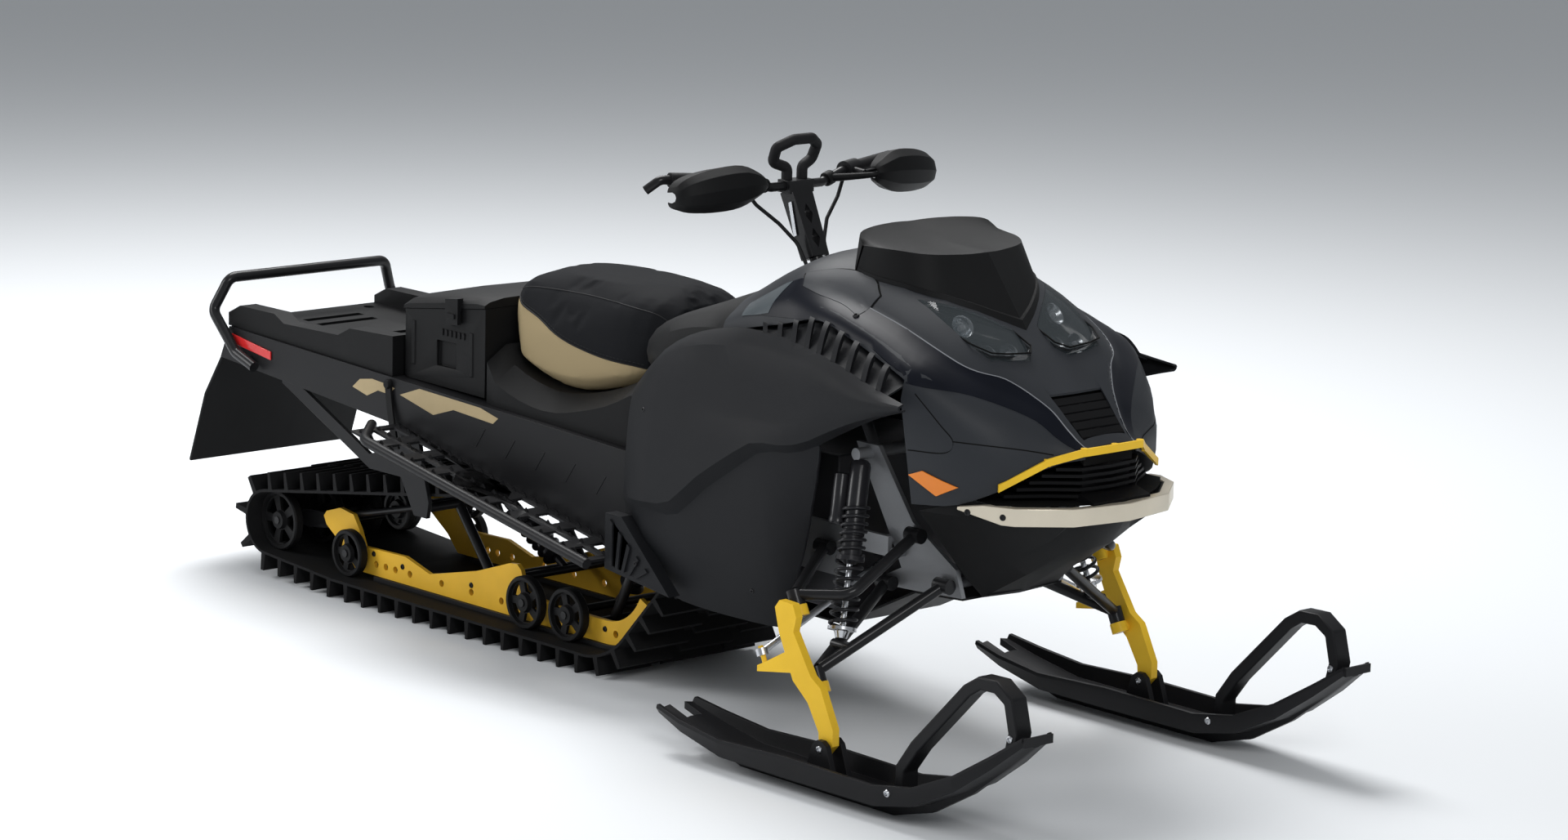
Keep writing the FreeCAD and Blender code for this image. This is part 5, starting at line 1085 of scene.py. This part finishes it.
# %% Shocks inside the track
softened("skid_shocks")
print("skid shocks softened")

# %% [markdown]
# A tan band with slanted ends runs along the tunnel's side. It is thin foil, so it is a flat
# plate a few tenths of a millimetre thick on the sheet. The wording beside it is left off.

# %% Foil bands and pressed marks on the tunnel
PLATE_SINK = 0.0004


def plate(name, outline, side, thick, slot, look=None):
    """A thin plate on the tunnel's side from its (x, z) outline."""
    _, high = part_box("tunnel")
    bm = bmesh.new()
    outer = [bm.verts.new((x, side * (high[1] + thick), z)) for x, z in outline]
    inner = [bm.verts.new((x, side * (high[1] - PLATE_SINK), z)) for x, z in outline]
    bm.faces.new(outer)
    bm.faces.new(inner[::-1])
    for k in range(len(outer)):
        m = (k + 1) % len(outer)
        bm.faces.new([outer[k], inner[k], inner[m], outer[m]])
    bmesh.ops.recalc_face_normals(bm, faces=bm.faces)
    return put(name, bm, "tunnel", slot, look)


BAND_FRONT = [(-0.790, 0.583), (-0.712, 0.610), (-0.470, 0.600), (-0.400, 0.584), (-0.420, 0.568),
              (-0.575, 0.578), (-0.655, 0.553)]
BAND_REAR = [(-0.985, 0.574), (-0.955, 0.598), (-0.905, 0.606), (-0.850, 0.602), (-0.812, 0.596),
             (-0.835, 0.577), (-0.880, 0.580), (-0.925, 0.560)]
MARK_OUTLINE = ((0, 0), (0.016, 0), (0.052, 0.050), (0.036, 0.050))
for side, word in SIDES:
    plate("foil_front_" + word, BAND_FRONT, side, 0.0005, "tan_plastic", FINISHES["tan_foil"])
    plate("foil_rear_" + word, BAND_REAR, side, 0.0005, "tan_plastic", FINISHES["tan_foil"])
    for k in range(5):
        outline = [(-0.50 + 0.115 * k + x, 0.500 - 0.010 * k + z) for x, z in MARK_OUTLINE]
        mark = plate("pressed_mark_%s_%d" % (word, k), outline, side, 0.0012, "tunnel_black")
        round_corners(mark, 0.0005)
print("foil bands and pressed marks")

# %% [markdown]
# A rubber strap holds the running board's brace against the tunnel, with a moulded hook at its
# top. Bars and straps of this kind are swept along a line with a flat cross section.

# %% Strap, riser strip and rail screws
def flat_bar(points, wide, thick, across):
    """A flat bar swept along points, its width along a fixed way."""
    across = Vector(across).normalized()
    rings = []
    for i, p in enumerate(points):
        out = way_at(points, i).cross(across).normalized()
        rings.append([p + across * a * wide / 2 + out * b * thick / 2
                      for a, b in ((-1, -1), (1, -1), (1, 1), (-1, 1))])
    return sheet_mesh(rings, closed=True, caps="both", sharp=40)


STRAP = [(-0.832, 0.2775, 0.600), (-0.824, 0.2790, 0.560), (-0.806, 0.2850, 0.510),
         (-0.792, 0.2870, 0.470), (-0.786, 0.2855, 0.446)]
KNOB = [(0, -0.006), (0.012, -0.006), (0.013, 0.002), (0.010, 0.007), (0, 0.008)]
RISER_STRIP = [(0.393, 0.0315, 1.118), (0.374, 0.0335, 1.196)]
RAIL_SCREWS = ((-1.14, 0.150), (-1.02, 0.120), (-0.90, 0.108), (-0.62, 0.112), (-0.46, 0.118),
               (-0.10, 0.100), (0.00, 0.095))
for side, word in SIDES:
    line = [(x, side * y, z) for x, y, z in STRAP]
    strap = flat_bar(along(line, 24), 0.022, 0.006, (1, 0, 0.2))
    put("tunnel_strap_" + word, strap, "tunnel", "flap_rubber")
    knob = stood(KNOB, 20, (-0.832, side * 0.279, 0.604), (0, side, 0))
    put("strap_knob_" + word, knob, "tunnel", "flap_rubber")
    line = [Vector((x, side * y, z)) for x, y, z in RISER_STRIP]
    put("riser_strip_" + word, flat_bar(line, 0.011, 0.002, (0.9, 0, 0.4)), "riser", "bare_steel")

rail_spots = met("rails", [((x, side * 0.30, z), (0, -side, 0)) for x, z in RAIL_SCREWS for side in (-1, 1)])
screws("rail_screws", "rails", rail_spots, 0.0075, "dark_steel")
print(len(rail_spots), "rail screws")

# %% [markdown]
# The handle over a ski's tip is a wide moulded strap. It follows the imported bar's line.

# %% Ski handles
SKI_Y = 0.511
HANDLE_LINE = [(1.311, 0.060), (1.311, 0.114), (1.354, 0.172), (1.508, 0.329), (1.545, 0.352),
               (1.594, 0.353), (1.633, 0.328), (1.650, 0.262), (1.641, 0.222)]
for side, word in SIDES:
    line = [Vector((x, side * SKI_Y, z)) for x, z in HANDLE_LINE]
    bar = flat_bar(line, 0.046, 0.029, (0, 1, 0))
    handle = put("ski_handle_" + word, bar, "ski_" + word, "ski_plastic")
    round_corners(handle, 0.004, 35, 3)
print("ski handles")

# %% [markdown]
# A short row of ribs stiffens the storage box between its latch and the pocket below.

# %% Ribs on the storage box
RIB_X, RIB_STEP, RIB_Z = -0.668, 0.017, 0.757
for side, word in SIDES:
    whole = bmesh.new()
    starts = [((RIB_X + RIB_STEP * k, side * 0.4, RIB_Z), (0, -side, 0)) for k in range(6)]
    for spot, _ in met("storage_box", starts):
        place = Matrix.Translation(spot) @ Matrix.Diagonal((0.008, 0.006, 0.016, 1))
        bmesh.ops.create_cube(whole, size=1, matrix=place)
    mark_sharp(whole, 40)
    put("box_ribs_" + word, whole, "storage_box", SLOT_OF["storage_box"])
print("ribs on the storage box")

# %% [markdown]
# Steel bolts hold each ski's loop and its pivot. They turn with the ski, so they ride on its body.

# %% Ski and spindle bolts
RAY_OUT = 0.14
for side, word in SIDES:
    node, middle = "ski_" + word, side * SKI_Y
    spots = []
    for turn in (-1, 1):
        spots.append(((1.643, middle + turn * 0.0225, 0.250), (0, turn, 0)))
        spots += met(node, [((1.330, middle + turn * RAY_OUT, 0.072), (0, -turn, 0))])
    spots += met(node, [((1.062, middle + turn * RAY_OUT, 0.105), (0, -turn, 0)) for turn in (-1, 1)])
    screws("ski_bolts_" + word, node, spots, 0.009, "bare_steel")
    print(word, len(spots), "ski bolts")
